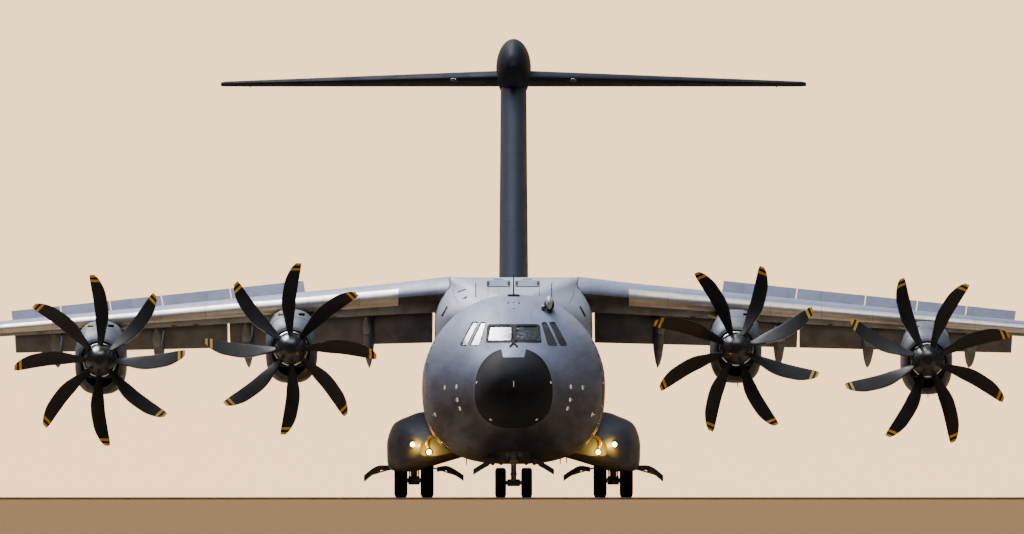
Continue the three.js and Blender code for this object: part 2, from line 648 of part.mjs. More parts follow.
// Share of the root swelling that a section has
const rootShare = (span) => THREE.MathUtils.clamp((ROOT.to - span) / (ROOT.to - ROOT.from), 0, 1) ** 2;

// The whole wing of one side, thicker by a factor and longer at both edges by a length
function wingSolid(sign, thicker, longer) {
  const rings = WING_SECTIONS.map(({ span, size, shift }) => {
    const near = rootShare(span);
    return AEROFOIL.map(([u, h]) => {
      const height = h * size * thicker * (1 + ROOT.swell * near);
      const [x, y, z] = wingPoint(sign, span, shift + (u - shift) * size, height);
      return [x, y - longer * (1 - 2 * u) - ROOT.ahead * near * (1 - u) ** 2, z];
    });
  });
  return loft(rings);
}

// A closed outline of [u, h] pairs carried along the wing
function spanPrism(sign, from, to, outline) {
  return sweep(outline, [from, to], (span, u, h) => wingPoint(sign, span, u, h));
}

// Space behind the rear spar under the fixed shroud, and the whole depth where the shroud ends
function shroudPocket(sign, from, to) {
  const under = (u) => upper(u) - SHROUD_DEPTH;
  const outline = [
    [REAR_SPAR, -3], [1.2, -3], [1.2, 3], [SHROUD_END, 3], [SHROUD_END, under(SHROUD_END)],
    [FLAP.start, under(FLAP.start)], [REAR_SPAR, under(REAR_SPAR)],
  ];
  return spanPrism(sign, from, to, outline);
}

function flapOutline() {
  const { nose, start } = FLAP;
  const under = (u) => upper(u) - SHROUD_DEPTH - 0.1;
  return [
    [1, upper(1)], [0.92, upper(0.92)],
    [SHROUD_END + 0.025, upper(SHROUD_END + 0.025)], [SHROUD_END + 0.012, under(SHROUD_END)],
    [start + 0.02, under(start + 0.02)], [start - 0.005, under(start) - 0.12],
    [nose, camber(nose) - 0.1],
    [start - 0.005, lower(start) + 0.12], [start + 0.03, lower(start + 0.03)],
    [0.86, lower(0.86)], [1, lower(1)],
  ];
}

// Hinge line of a flap: a straight line below the wing through the lowest corners of its two arms
function flapAxis(sign, flap) {
  const at = (span) => {
    const [x, y, z] = wingPoint(sign, span, FLAP.hingeAt, lower(FLAP.hingeAt));
    return [x, y, z - FLAP.hingeDrop];
  };
  const [inner, outer] = [at(flap.from), at(flap.to)];
  return { point: inner, axis: inner.map((value, k) => outer[k] - value) };
}

// Fairing of a flap arm below the wing, from the rows of one of its tables, moved back by a length
function armFairing(sign, span, rows, back) {
  const rings = rows.map(([u, width, depth, lift]) => {
    const [x, y, z] = wingPoint(sign, span, u, lower(Math.min(u, 0.98)));
    const moved = u === FLAP.hingeAt ? y + back : y;
    return ARM_SECTION.map(([across, down]) => [
      x + across * ARM.half * width, moved, down === 0 ? z + lift : z - down * ARM.depth * depth,
    ]);
  });
  return loft(rings);
}

function makeFlaps(sign, side) {
  for (const flap of FLAPS) {
    const { point, axis } = flapAxis(sign, flap);
    const panel = spanPrism(sign, flap.from, flap.to, flapOutline());
    const arms = flap.arms.map((span) => armFairing(sign, span, ARM_MOVING, CLEAR));
    const lowered = turned(join([panel, ...arms]), point, axis, -sign * FLAP.down);
    addNode(`flap_${flap.name}_${side}`, lowered, "under");
  }
}

// Spoilers: five panels on one hinge tube
function spoilerAxis(sign) {
  const at = (span) => wingPoint(sign, span, SPOILER.hingeAt, upper(SPOILER.hingeAt) - SPOILER.thick / 2);
  const inner = at(SPOILER_SPANS[0]);
  return { point: inner, axis: at(SPOILER_SPANS.at(-1)).map((value, k) => value - inner[k]) };
}

function makeSpoilers(sign, side) {
  const { hingeAt, thick, rod, gap, up } = SPOILER;
  const front = hingeAt + 0.004;
  const outline = [
    [front, upper(front) - 0.01], [SHROUD_END - 0.01, upper(SHROUD_END - 0.01)],
    [SHROUD_END - 0.01, upper(SHROUD_END) - 0.03], [front, upper(front) - thick],
  ];
  const panels = SPOILER_SPANS.slice(1).map((to, i) =>
    spanPrism(sign, SPOILER_SPANS[i] + gap, to - gap, outline),
  );
  const { point, axis } = spoilerAxis(sign);
  const onAxis = (share) => point.map((value, k) => value + axis[k] * share);
  const shy = (gap + 5) / Math.hypot(...axis);
  const tube = bar(onAxis(shy), onAxis(1 - shy), rod, 10);
  addNode(`spoilers_${side}`, turned(join([...panels, tube]), point, axis, sign * up), "under");
}

// A trailing control surface with a round nose: outline in chord shares for a surface of half thickness 1
function controlOutline(hingeAt, nose, top, bottom) {
  const outline = [[1, top(1)], [hingeAt + nose, top(hingeAt + nose)]];
  const middle = (top(hingeAt) + bottom(hingeAt)) / 2;
  const reach = (top(hingeAt) - bottom(hingeAt)) / 2;
  for (const angle of [90, 130, 160, 200, 230, 270].map(radians)) {
    outline.push([hingeAt + nose * Math.cos(angle), middle + reach * 0.97 * Math.sin(angle)]);
  }
  outline.push([hingeAt + nose, bottom(hingeAt + nose)], [1, bottom(1)]);
  return outline;
}

// The whole section behind a point of the chord, or behind the nose of a control surface
const rearOf = (u) => [[u, -3], [1.3, -3], [1.3, 3], [u, 3]];
const behind = ({ hingeAt, nose, ahead }) => rearOf(hingeAt - nose - ahead);

function makeAileron(sign, side) {
  const { from, to, hingeAt, nose } = AILERON;
  addNode(`aileron_${side}`, spanPrism(sign, from, to, controlOutline(hingeAt, nose, upper, lower)), "under");
}

function fairingSolid(grow) {
  const rings = FAIRING.map(({ station, ...row }) => {
    const [half, shoulder, top] = [row.half + grow, row.shoulder + grow, row.top + grow];
    const corner = FAIRING_CORNER.map(([across, up]) => [
      lerp(half, shoulder, across), lerp(FAIRING_SIDE, top, up),
    ]);
    const side = [[half, FAIRING_FOOT], ...corner, [shoulder * 0.6, top]];
    return [...side, ...mirror(side, -1).reverse()].map(([x, z]) => [x, along(station), z]);
  });
  return loft(rings);
}

function makeWing(sign, side) {
  const pockets = [
    ...FLAPS.map(({ from, to, inboard }) => shroudPocket(sign, from - inboard, to + 25)),
    spanPrism(sign, FLAPS[0].to, FLAPS[1].from, rearOf(REAR_SPAR)),
    spanPrism(sign, SPOILER_SPANS[0] - 20, SPOILER_SPANS.at(-1) + 20, rearOf(REAR_SPAR)),
    spanPrism(sign, AILERON.from - 25, AILERON.to + 25, behind(AILERON)),
  ];
  const arms = FLAPS.flatMap((flap) => flap.arms.map((span) => armFairing(sign, span, ARM_FIXED, -CLEAR)));
  const wing = join([cut(wingSolid(sign, 1, 0), ...pockets), ...arms]);
  addNode(`wing_${side}`, cut(wing, fairingSolid(2 * SEAM), wholeHull), "skin");
  makeFlaps(sign, side);
  makeSpoilers(sign, side);
  makeAileron(sign, side);
}

addNode("wing_fairing", cut(fairingSolid(0), wholeHull), "skin");
for (const { name, sign } of SIDES) makeWing(sign, name);

// Engines: nacelle with chin intake and jet pipe, and propeller
function nacelleSolid({ x, z, station, stretch }) {
  const rings = NACELLE.map(({ back, half, up, down, square }) =>
    ovalRing(NACELLE_SIDES, along(station + back * stretch), x, z, half, up, down, square, square),
  );
  return loft(rings);
}

function intakeOutline({ x, z }) {
  const { half, low, high } = INTAKE;
  const bend = [-1, -0.75, -0.4, 0, 0.4, 0.75, 1];
  const bottom = bend.map((t) => [x + half * t, z - low + (low - high) * 0.85 * t ** 2]);
  const top = bend.toReversed().map((t) => [x + half * t, z - high + (low - high) * 0.25 * t ** 2]);
  return [...bottom, ...top];
}

function cowlSlots({ x, z, station, stretch }) {
  const { half, high, from, to } = COWL_SLOT;
  const low = z + COWL_SLOT.z;
  return [-1, 1].map((side) => {
    const middle = x + side * COWL_SLOT.x;
    const [start, end] = [from, to].map((back) => station + back * stretch);
    return box(middle - half, middle + half, start, end, low, low + high);
  });
}

function makeNacelle(engine) {
  const { name, x, z, station, stretch } = engine;
  const { back, length, radius, wall, depth, drop } = EXHAUST;
  const height = z + EXHAUST.z;
  const pipeStart = [x, along(station + back * stretch), height];
  const pipeEnd = [x, along(station + (back + length) * stretch), height - drop];
  const bore = bar([x, pipeEnd[1] - depth, pipeEnd[2]], [x, pipeEnd[1] + PAST, pipeEnd[2] - 5], radius, 20);
  const intake = frontPrism(intakeOutline(engine), station, station + NACELLE[0].back + INTAKE.depth);
  const wing = wingSolid(Math.sign(x), 1 + NACELLE_JOINT.thicker, NACELLE_JOINT.longer);
  const body = join([nacelleSolid(engine), bar(pipeStart, pipeEnd, radius + wall, 20)]);
  addNode(`nacelle_${name}`, cut(body, intake, bore, wing, ...cowlSlots(engine)), "skin");
}

function makePropeller({ name, x, z, station, turn, start }) {
  const { hub, back, blades } = PROP;
  const profile = [...SPINNER.map(([radius, ahead]) => [radius, -ahead]), [hub, back], [0, back]];
  const spinner = new THREE.LatheGeometry(profile.map(([r, a]) => new THREE.Vector2(r, a)), 16);
  const pieces = [solidOf(spinner)];
  for (let i = 0; i < blades; i++) {
    pieces.push(turned(propBlade(turn), [0, 0, 0], [0, 1, 0], start + (360 / blades) * i));
  }
  const whole = geometryOf(join(pieces)).translate(x, along(station), z);
  addNode(`propeller_${name}`, solidOf(whole), "blade");
}

function propBlade(turn) {
  const rings = BLADE.map(({ r, chord, thick, pitch, sweep }) => {
    const flat = Math.cos(radians(pitch));
    const steep = Math.sin(radians(pitch));
    return BLADE_SECTION.map(([c, t]) => [
      turn * (sweep + c * chord * flat + t * thick * steep),
      c * chord * steep - t * thick * flat,
      r,
    ]);
  });
  return loft(rings);
}

// Sponsons with the open bays of the main gear
function sponsonSolid(sign, grow) {
  const rings = SPONSON.map(({ station, ...row }) => {
    const [outer, top, bottom] = [row.outer + grow, row.top + grow, row.bottom - grow];
    return SPONSON_SHAPE.map(([across, height]) => [
      sign * lerp(SPONSON_INNER, outer, across), along(station), lerp(bottom, top, height),
    ]);
  });
  return loft(rings);
}

function lampsAndLip(sign) {
  const lamps = LAMPS.map(({ x, z, station }) =>
    bar([sign * x, along(station), z], [sign * x, along(station + LAMP.depth), z], LAMP.radius, 10),
  );
  const line = DUCT_LIP.map(([x, station, z]) => [sign * x, along(station), z]);
  const lip = line.slice(1).map((point, i) => bar(line[i], point, DUCT_LIP_RADIUS, 8));
  return [...lamps, ...lip];
}

function makeSponson(sign, side) {
  const { from, to, inner, outer, low, top } = BAY;
  const bay = box(sign * inner, sign * outer, from, to, low, top);
  const body = join([sponsonSolid(sign, 0), ...lampsAndLip(sign)]);
  addNode(`sponson_${side}`, cut(body, bay, wholeHull), "under");
  for (const { name, line } of MAIN_DOORS) {
    const door = plate(mirror(line, sign), DOOR_THICK, from, to);
    const fitted = cut(door, sponsonSolid(sign, 2 * SEAM), bay, wholeHull);
    addNode(`main_gear_door_${name}_${side}`, fitted, "under");
  }
}

// A bent plate: a line seen from the front, given a thickness downwards
function plate(line, thick, from, to) {
  const below = line.toReversed().map(([x, z]) => [x, z - thick]);
  return frontPrism([...line, ...below], from, to);
}

// Twin wheels on their axle, turned about the X axis
function twinWheels(x, station, { radius, width, track, axle }) {
  const inner = track - width / 2;
  const outer = track + width / 2;
  const half = [
    [0, outer - 40], [radius * 0.24, outer - 50], [radius * 0.48, outer - 100], [radius * 0.55, outer - 8],
    [radius * 0.8, outer], [radius, outer - width * 0.2], [radius, inner + width * 0.2],
    [radius * 0.8, inner], [axle, inner + 20],
  ];
  const profile = [...half, ...half.toReversed().map(([r, a]) => [r, -a])];
  const geometry = new THREE.LatheGeometry(profile.map(([r, a]) => new THREE.Vector2(r, a)), WHEEL_SIDES);
  geometry.rotateZ(Math.PI / 2);
  geometry.translate(x, along(station), radius);
  return solidOf(geometry);
}

// The sleeve that the axle turns in, and its bore
function axleSleeve(x, station, { radius, width, track, axle, sleeve }) {
  const reach = track - width / 2 - CLEAR;
  const across = (half, barRadius) =>
    bar([x - half, along(station), radius], [x + half, along(station), radius], barRadius, 12);
  return { sleeve: across(reach, axle + sleeve), bore: across(reach + PAST, axle + BORE_GAP) };
}

function makeMainGear(sign, side) {
  const { radius, leg, carrierHalf, carrierDepth, carrierEnd, kneeAhead, kneeHeight } = MAIN;
  const x = sign * MAIN.x;
  const ceiling = BAY.top - SEAM;
  const inCarrier = ceiling - carrierDepth / 2;
  const carrier = [x - carrierHalf, x + carrierHalf, BAY.from + carrierEnd, BAY.to - carrierEnd];
  const pieces = [box(...carrier, ceiling - carrierDepth, ceiling)];
  const bores = [];
  MAIN.stations.forEach((station, i) => {
    addNode(`main_wheels_${side}_${i + 1}`, twinWheels(x, station, MAIN), "tyre");
    const { sleeve, bore } = axleSleeve(x, station, MAIN);
    const at = (back, z) => [x, along(station + back), z];
    pieces.push(
      sleeve,
      bar(at(-kneeAhead, inCarrier), at(-kneeAhead, kneeHeight), leg, 10),
      bar(at(-kneeAhead - 20, kneeHeight - 40), at(0, radius), 0.9 * leg, 8, 0.7 * leg),
      bar(at(160, inCarrier), at(-60, radius + 60), 0.6 * leg, 8),
    );
    bores.push(bore);
  });
  addNode(`main_gear_legs_${side}`, cut(join(pieces), ...bores), "gear");
}

function makeNoseGear() {
  const { station, radius, strut, split, pad, brace } = NOSE;
  const y = along(station);
  const ceiling = NOSE_BAY.top - SEAM;
  const braceFoot = NOSE_BAY.to - 260;
  const lampAt = (x, ahead) => [x, y - ahead, NOSE_LAMP.z];
  const lamps = [-NOSE_LAMP.x, NOSE_LAMP.x].map((x) =>
    bar(lampAt(x, NOSE_LAMP.ahead), lampAt(x, NOSE_LAMP.ahead - NOSE_LAMP.depth), NOSE_LAMP.radius, 10),
  );
  const lampBar = bar(lampAt(-NOSE_LAMP.x, 115), lampAt(NOSE_LAMP.x, 115), NOSE_LAMP.bar, 8);
  addNode(
    "nose_leg",
    join([
      bar([0, y, split], [0, y, ceiling], strut + 25, 14),
      box(-260, 260, station - 110, station + 110, ceiling - pad, ceiling),
      bar([0, along(braceFoot), ceiling - pad / 2], [0, y + 60, split + 260], brace, 10),
      box(-200, 200, braceFoot - 80, braceFoot + 80, ceiling - pad, ceiling),
      lampBar,
      ...lamps,
    ]),
    "gear",
  );
  const { sleeve, bore } = axleSleeve(0, station, NOSE);
  const links = TORQUE_LINKS.map((outline) =>
    sidePrism(outline.map(([back, z]) => [station + back, z]), -TORQUE_LINK_HALF, TORQUE_LINK_HALF),
  );
  const lower = join([bar([0, y, radius], [0, y, split - CLEAR / 2], strut, 14), sleeve, ...links]);
  addNode("nose_steering", cut(lower, bore), "steel");
  addNode("nose_wheels", twinWheels(0, station, NOSE), "tyre");
  for (const { name, sign } of SIDES) {
    const door = plate(mirror(NOSE_DOOR, sign), DOOR_THICK, NOSE_BAY.from + 40, NOSE_BAY.to - 40);
    addNode(`nose_gear_door_${name}`, cut(door, hullSolid(3000, 8000, -2 * SEAM)), "under");
  }
}

// Tail surfaces: symmetric sections, u along the chord, h across it in half thicknesses
const TAIL_AEROFOIL = [
  ...AEROFOIL_STEPS.toReversed().map((u) => [u, halfThickness(u)]),
  ...AEROFOIL_STEPS.slice(1).map((u) => [u, -halfThickness(u)]),
];

function finPoint(z, u, h) {
  const t = (z - FIN.root.z) / (FIN.top.z - FIN.root.z);
  const at = (key) => lerp(FIN.root[key], FIN.top[key], t);
  return [h * at("half"), along(at("edge") + u * at("chord")), z];
}

// The whole fin, or one a little larger all round
function finSolid(grow) {
  const { chord, half } = FIN.top;
  const section = (z, wide) =>
    TAIL_AEROFOIL.map(([u, h]) =>
      finPoint(z, u + ((u - 0.5) * grow * 2) / chord, h * wide + (Math.sign(h) * grow) / half),
    );
  const { z } = FIN.root;
  return loft([section(z, FIN_FOOT.wide), section(z + FIN_FOOT.height, 1), section(FIN.top.z, 1)]);
}

function tailPoint(sign, span, u, h) {
  const t = span / TAIL.semispan;
  const at = (pair) => lerp(pair.root, pair.tip, t);
  return [sign * span, along(at(TAIL.edge) + u * at(TAIL.chord)), at(TAIL.height) + h * at(TAIL.half)];
}

// Half of the whole tailplane, or one a little larger all round
function tailSolid(sign, grow) {
  const { semispan, cap, capSize, chord, half } = TAIL;
  const section = (span, size, shift) =>
    TAIL_AEROFOIL.map(([u, h]) => {
      const across = shift + (u - shift) * size + ((u - 0.5) * grow * 2) / chord.root;
      return tailPoint(sign, span, across, h * size + (Math.sign(h) * grow) / half.root);
    });
  return loft([section(0, 1, 0), section(semispan - cap, 1, 0), section(semispan, capSize, 1)]);
}

function makeTail() {
  const otherSide = (u) => -halfThickness(u);
  const rudderOutline = controlOutline(RUDDER.hingeAt, RUDDER.nose, halfThickness, otherSide);
  const rudderSpace = sweep(behind(RUDDER), [RUDDER.from - RUDDER.below, RUDDER.to + RUDDER.above], finPoint);
  addNode("fin", cut(finSolid(0), rudderSpace, wholeHull), "skin");
  addNode("rudder", sweep(rudderOutline, [RUDDER.from, RUDDER.to], finPoint), "skin");

  const elevatorOutline = controlOutline(ELEVATOR.hingeAt, ELEVATOR.nose, halfThickness, otherSide);
  const place = (sign) => (span, u, h) => tailPoint(sign, span, u, h);
  const spaces = [ELEVATOR.from - CLEAR, ELEVATOR.to + CLEAR];
  const halves = SIDES.map(({ sign }) =>
    cut(tailSolid(sign, 0), sweep(behind(ELEVATOR), spaces, place(sign))),
  );
  addNode("tailplane", join(halves), "skin");
  for (const { name, sign } of SIDES) {
    addNode(`elevator_${name}`, sweep(elevatorOutline, [ELEVATOR.from, ELEVATOR.to], place(sign)), "skin");
  }
  const bulletRings = BULLET.map(({ station, half, up, down, z }) =>
    ovalRing(16, along(station), 0, z, half, up, down, 2),
  );
  const around = [finSolid(BULLET_JOINT), tailSolid(1, BULLET_JOINT), tailSolid(-1, BULLET_JOINT)];
  addNode("tail_bullet", cut(loft(bulletRings), ...around), "skin");
}

for (const engine of ENGINES) {
  makeNacelle(engine);
  makePropeller(engine);
}
for (const { name, sign } of SIDES) {
  makeSponson(sign, name);
  makeMainGear(sign, name);
}
makeNoseGear();
makeTail();

export default aircraft;
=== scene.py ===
import math
from functools import partial

import bmesh
import bpy
from mathutils import Matrix, Vector


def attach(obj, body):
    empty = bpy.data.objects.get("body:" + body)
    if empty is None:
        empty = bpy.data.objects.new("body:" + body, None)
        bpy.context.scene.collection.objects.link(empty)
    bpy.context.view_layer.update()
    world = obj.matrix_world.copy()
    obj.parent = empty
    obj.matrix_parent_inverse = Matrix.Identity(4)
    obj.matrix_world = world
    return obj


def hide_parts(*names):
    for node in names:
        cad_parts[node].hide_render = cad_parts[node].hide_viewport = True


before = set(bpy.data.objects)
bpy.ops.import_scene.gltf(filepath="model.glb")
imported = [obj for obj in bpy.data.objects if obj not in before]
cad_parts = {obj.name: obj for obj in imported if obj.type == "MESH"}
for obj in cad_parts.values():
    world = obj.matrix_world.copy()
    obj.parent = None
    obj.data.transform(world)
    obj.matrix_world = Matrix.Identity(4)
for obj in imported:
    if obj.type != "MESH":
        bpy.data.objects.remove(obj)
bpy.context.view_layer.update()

# Shapes are drawn in millimetres of the full-size aircraft: x to its left, station back from the nose, z up.
SCALE = 0.0005
LENGTH = 45100
SIDES = (("left", 1), ("right", -1))
X, Y, Z = Vector((1, 0, 0)), Vector((0, 1, 0)), Vector((0, 0, 1))


def place(x, station, z):
    return Vector((x * SCALE, (station - LENGTH / 2) * SCALE, z * SCALE))


def unplace(point):
    """The x, station and z of a placed point."""
    return point.x / SCALE, point.y / SCALE + LENGTH / 2, point.z / SCALE


def lerp(a, b, t):
    return a + (b - a) * t


def signed_power(value, power):
    return math.copysign(abs(value) ** power, value)


# Fuselage sections: station, half width, top, bottom, height of the widest point, lower corner exponent
HULL = (
    (0, 60, 3310, 3190, 3250, 2),
    (60, 300, 3560, 2960, 3250, 2),
    (250, 580, 3830, 2690, 3250, 2),
    (700, 860, 4150, 2430, 3230, 2.1),
    (1250, 1060, 4390, 2260, 3220, 2.2),
    (1900, 1230, 4600, 2120, 3200, 2.3),
    (2500, 1560, 4780, 1900, 3220, 2.3),
    (3050, 1820, 5060, 1720, 3250, 2.3),
    (3700, 2090, 5380, 1530, 3290, 2.4),
    (4500, 2360, 5700, 1370, 3340, 2.5),
    (5400, 2570, 5960, 1240, 3390, 2.6),
    (6500, 2730, 6140, 1140, 3430, 2.6),
    (8200, 2820, 6270, 1060, 3450, 2.7),
    (25500, 2820, 6270, 1060, 3450, 2.7),
    (28000, 2760, 6270, 1560, 3650, 2.6),
    (31000, 2520, 6270, 2440, 4080, 2.4),
    (34000, 2060, 6230, 3400, 4650, 2.2),
    (37000, 1380, 6120, 4370, 5180, 2),
    (39300, 720, 5960, 5020, 5460, 2),
    (40600, 240, 5760, 5360, 5560, 2),
)
JOINTS = {"radome": 1900, "nose": 6300, "forward": 12500, "centre": 25650, "aft": 37200}
HULL_SIDES = 128
WALL = 110
AFT_WALL = 80
SEAM = 2
CLEAR = 30
PATCH_STEP = 110

# Wing: values on the centre line and at the tip
SEMISPAN = 21200
WING = {
    "edge": (13600, 20530),
    "chord": (7800, 2800),
    "height": (6495, 4863),
    "fall": (415, -30),
    "half": (570, 150),
}
WING_START = 1950
# Swelling at the root: spans where it is full and where it ends, share of the thickness, reach ahead
ROOT_FROM, ROOT_TO, ROOT_SWELL, ROOT_AHEAD = 2440, 4400, 0.06, 400
CAP_SPAN = 20900
CAMBER = 0.18
# Places on the chord run from 0 at the front edge to 1 at the rear edge
REAR_SPAR = 0.64
SHROUD_END = 0.8
SHROUD_DEPTH = 0.14
# Flaps: name, first and last span, spans of the arms, room at the inner end
FLAPS = (
    ("inboard", 2620, 8960, (4594, 8375), 200),
    ("outboard", 9040, 15700, (11170, 14370), 25),
)
# Hinge on the chord, its depth below the wing, degrees down as in the photo
FLAP_HINGE = 0.73
FLAP_DROP = 640
FLAP_DOWN = 30
SPOILER_SPANS = (6460, 8790, 10950, 12580, 14130, 15700)
SPOILER_HINGE = 0.655
SPOILER_UP = 58
AILERON = (15800, 20600)

# Engines: name, x, hub height, propeller station, share of the nacelle length, hand, first blade's turn
ENGINES = (
    ("left_outboard", 12850, 4270, 14300, 0.85, 1, 22.5),
    ("left_inboard", 6900, 4615, 12350, 0.97, -1, 22.5),
    ("right_inboard", -6900, 4615, 12350, 0.97, 1, 0),
    ("right_outboard", -12850, 4270, 14300, 0.85, -1, 0),
)
# Nacelle sections: distance behind the propeller, half width, up and down from the hub, corner exponent
NACELLE = (
    (245, 600, 600, 880, 2.1),
    (310, 665, 690, 950, 2.2),
    (550, 730, 830, 1010, 2.4),
    (1150, 790, 1010, 1055, 2.6),
    (2200, 800, 1170, 1050, 2.8),
    (3600, 800, 1250, 1000, 2.8),
    (5200, 740, 1250, 820, 2.6),
    (6600, 560, 1150, 380, 2.2),
    (7600, 260, 950, -350, 2),
)
# Blade sections: radius, chord, thickness, pitch, sweep
BLADE = (
    (380, 260, 150, 62, 0),
    (720, 400, 90, 55, -40),
    (1350, 580, 55, 43, -70),
    (2050, 530, 32, 36, 20),
    (2520, 340, 18, 31, 170),
    (2655, 180, 12, 30, 240),
)


def read(table, column, at):
    """A column of a table at any station, smoothly and without overshoot."""
    last = len(table) - 1

    def step(i):
        return (table[i + 1][column] - table[i][column]) / (table[i + 1][0] - table[i][0])

    def slope(i):
        if i == 0:
            return step(0)
        if i == last:
            return step(last - 1)
        before, after = step(i - 1), step(i)
        return 2 * before * after / (before + after) if before * after > 0 else 0

    i = 0
    while i < last - 1 and at > table[i + 1][0]:
        i += 1
    width = table[i + 1][0] - table[i][0]
    t = min(max((at - table[i][0]) / width, 0), 1)
    a, b = table[i][column], table[i + 1][column]
    bend = width * t * (1 - t) * (slope(i) * (1 - t) - slope(i + 1) * t)
    return a * (1 + 2 * t) * (1 - t) ** 2 + b * t * t * (3 - 2 * t) + bend


def read_row(table, at):
    """Every column of a table but its first, at any station."""
    return [read(table, column, at) for column in range(1, len(table[0]))]


# Closed shapes: each is a pair of vertices and faces
def loft(rings):
    count = len(rings[0])
    verts = [point for ring in rings for point in ring]
    faces = []
    for r in range(len(rings) - 1):
        for i in range(count):
            a, b = r * count + i, r * count + (i + 1) % count
            faces.append((a, b, b + count, a + count))
    faces.append(tuple(range(count)))
    faces.append(tuple(range(len(verts) - 1, len(verts) - 1 - count, -1)))
    return verts, faces


def front_prism(outline, start, end):
    return loft([[place(x, s, z) for x, z in outline] for s in (start, end)])


def side_prism(outline, x0, x1):
    return loft([[place(x, s, z) for s, z in outline] for x in (x0, x1)])


def plan_prism(outline, z0, z1):
    return loft([[place(x, s, z) for x, s in outline] for z in (z0, z1)])


def rectangle(x0, x1, y0, y1):
    return (x0, y0), (x1, y0), (x1, y1), (x0, y1)


def box(x0, x1, s0, s1, z0, z1):
    return plan_prism(rectangle(x0, x1, s0, s1), z0, z1)


def basis(direction):
    along = direction.normalized()
    across = along.cross(Z if abs(along.z) < 0.9 else X).normalized()
    return along, across, along.cross(across)


def circle(centre, u, v, size, sides):
    angles = [math.tau * k / sides for k in range(sides)]
    return [centre + (u * math.cos(a) + v * math.sin(a)) * size for a in angles]


def bar(start, end, radius, end_radius=None, sides=24):
    """A round bar between two placed points, with softened ends."""
    end_radius = radius if end_radius is None else end_radius
    along, u, v = basis(end - start)
    length = (end - start).length
    soft = min(0.12 * min(radius, end_radius) * SCALE, length * 0.2)
    rows = (0, radius, soft), (soft, radius, 0), (length - soft, end_radius, 0), (length, end_radius, soft)
    return loft([circle(start + along * t, u, v, r * SCALE - inset, sides) for t, r, inset in rows])


def tube(points, radius, sides=10):
    """A round tube along placed points."""
    rings = []
    for i, point in enumerate(points):
        before, after = points[max(i - 1, 0)], points[min(i + 1, len(points) - 1)]
        _, u, v = basis(after - before)
        rings.append(circle(point, u, v, radius * SCALE, sides))
    return loft(rings)


def loop_tube(loop, radius, sides=6):
    """A round tube along a closed loop of placed points."""
    return tube(loop + loop[:2], radius, sides)


def lathe(profile, centre, axis, sides=64):
    """(radius, distance) pairs turned about an axis through a placed centre."""
    along, u, v = basis(axis)
    rings = []
    for radius, distance in profile:
        rings.append(circle(centre + along * distance * SCALE, u, v, max(radius, 0.5) * SCALE, sides))
    return loft(rings)


def ball(centre, radii, sides=32, levels=18):
    rings = []
    for k in range(levels + 1):
        angle = math.pi * min(max(k / levels, 0.01), 0.99)
        wide, along = math.sin(angle), -math.cos(angle) * radii[1]
        ring = []
        for i in range(sides):
            turn = math.tau * i / sides
            spot = (wide * math.cos(turn) * radii[0], along, wide * math.sin(turn) * radii[2])
            ring.append(centre + Vector(spot) * SCALE)
        rings.append(ring)
    return loft(rings)


def turned(shape, point, axis, degrees):
    spin = Matrix.Rotation(math.radians(degrees), 4, axis)
    move = Matrix.Translation(point) @ spin @ Matrix.Translation(-point)
    return [move @ vert for vert in shape[0]], shape[1]


def rounded(outline, radius, steps=5):
    """An outline with its corners rounded."""
    points = [Vector(point) for point in outline]
    soft = []
    for i, corner in enumerate(points):
        before, after = points[i - 1], points[(i + 1) % len(points)]
        reach = min(radius, (before - corner).length * 0.45, (after - corner).length * 0.45)
        a = corner + (before - corner).normalized() * reach
        b = corner + (after - corner).normalized() * reach
        for k in range(steps + 1):
            t = k / steps
            soft.append(tuple(a * (1 - t) ** 2 + corner * 2 * t * (1 - t) + b * t * t))
    return soft


def smooth_outline(points, steps=5):
    """A curve through points, ends kept."""
    ends = [points[0]] + list(points) + [points[-1]]
    made = []
    for i in range(1, len(ends) - 2):
        p0, p1, p2, p3 = (Vector(p) for p in ends[i - 1 : i + 3])
        for k in range(steps):
            t = k / steps
            bend = (2 * p0 - 5 * p1 + 4 * p2 - p3) * t**2 + (3 * p1 - p0 - 3 * p2 + p3) * t**3
            made.append(tuple(0.5 * (2 * p1 + (p2 - p0) * t + bend)))
    return made + [tuple(points[-1])]


def dense(outline, reach=90):
    """An outline with points added so that no side is longer than a reach."""
    made = []
    for a, b in zip(outline, outline[1:] + outline[:1]):
        count = max(1, math.ceil(math.dist(a, b) / reach))
        made += [tuple(Vector(a).lerp(Vector(b), k / count)) for k in range(count)]
    return made


def mirrored(outline, sign):
    return [(sign * x, z) for x, z in outline]


class Piece:
    """Collects closed shapes, each with the number of its material, into one object."""

    def __init__(self, *shapes):
        self.verts, self.faces, self.marks = [], [], []
        for shape in shapes:
            self.add(shape)

    def add(self, shape, mark=0):
        base = len(self.verts)
        self.verts += shape[0]
        self.faces += [tuple(base + i for i in face) for face in shape[1]]
        self.marks += [mark] * len(shape[1])
        return self

    def object(self, name):
        mesh = bpy.data.meshes.new(name)
        mesh.from_pydata(self.verts, [], self.faces)
        mesh.polygons.foreach_set("material_index", self.marks)
        solid = bmesh.new()
        solid.from_mesh(mesh)
        bmesh.ops.recalc_face_normals(solid, faces=solid.faces)
        solid.to_mesh(mesh)
        solid.free()
        made = bpy.data.objects.new(name, mesh)
        bpy.context.scene.collection.objects.link(made)
        return made


def bake(made):
    """Applies the modifiers of an object to its mesh."""
    bpy.context.view_layer.update()
    result = bpy.data.meshes.new_from_object(made.evaluated_get(bpy.context.evaluated_depsgraph_get()))
    made.modifiers.clear()
    made.data = result


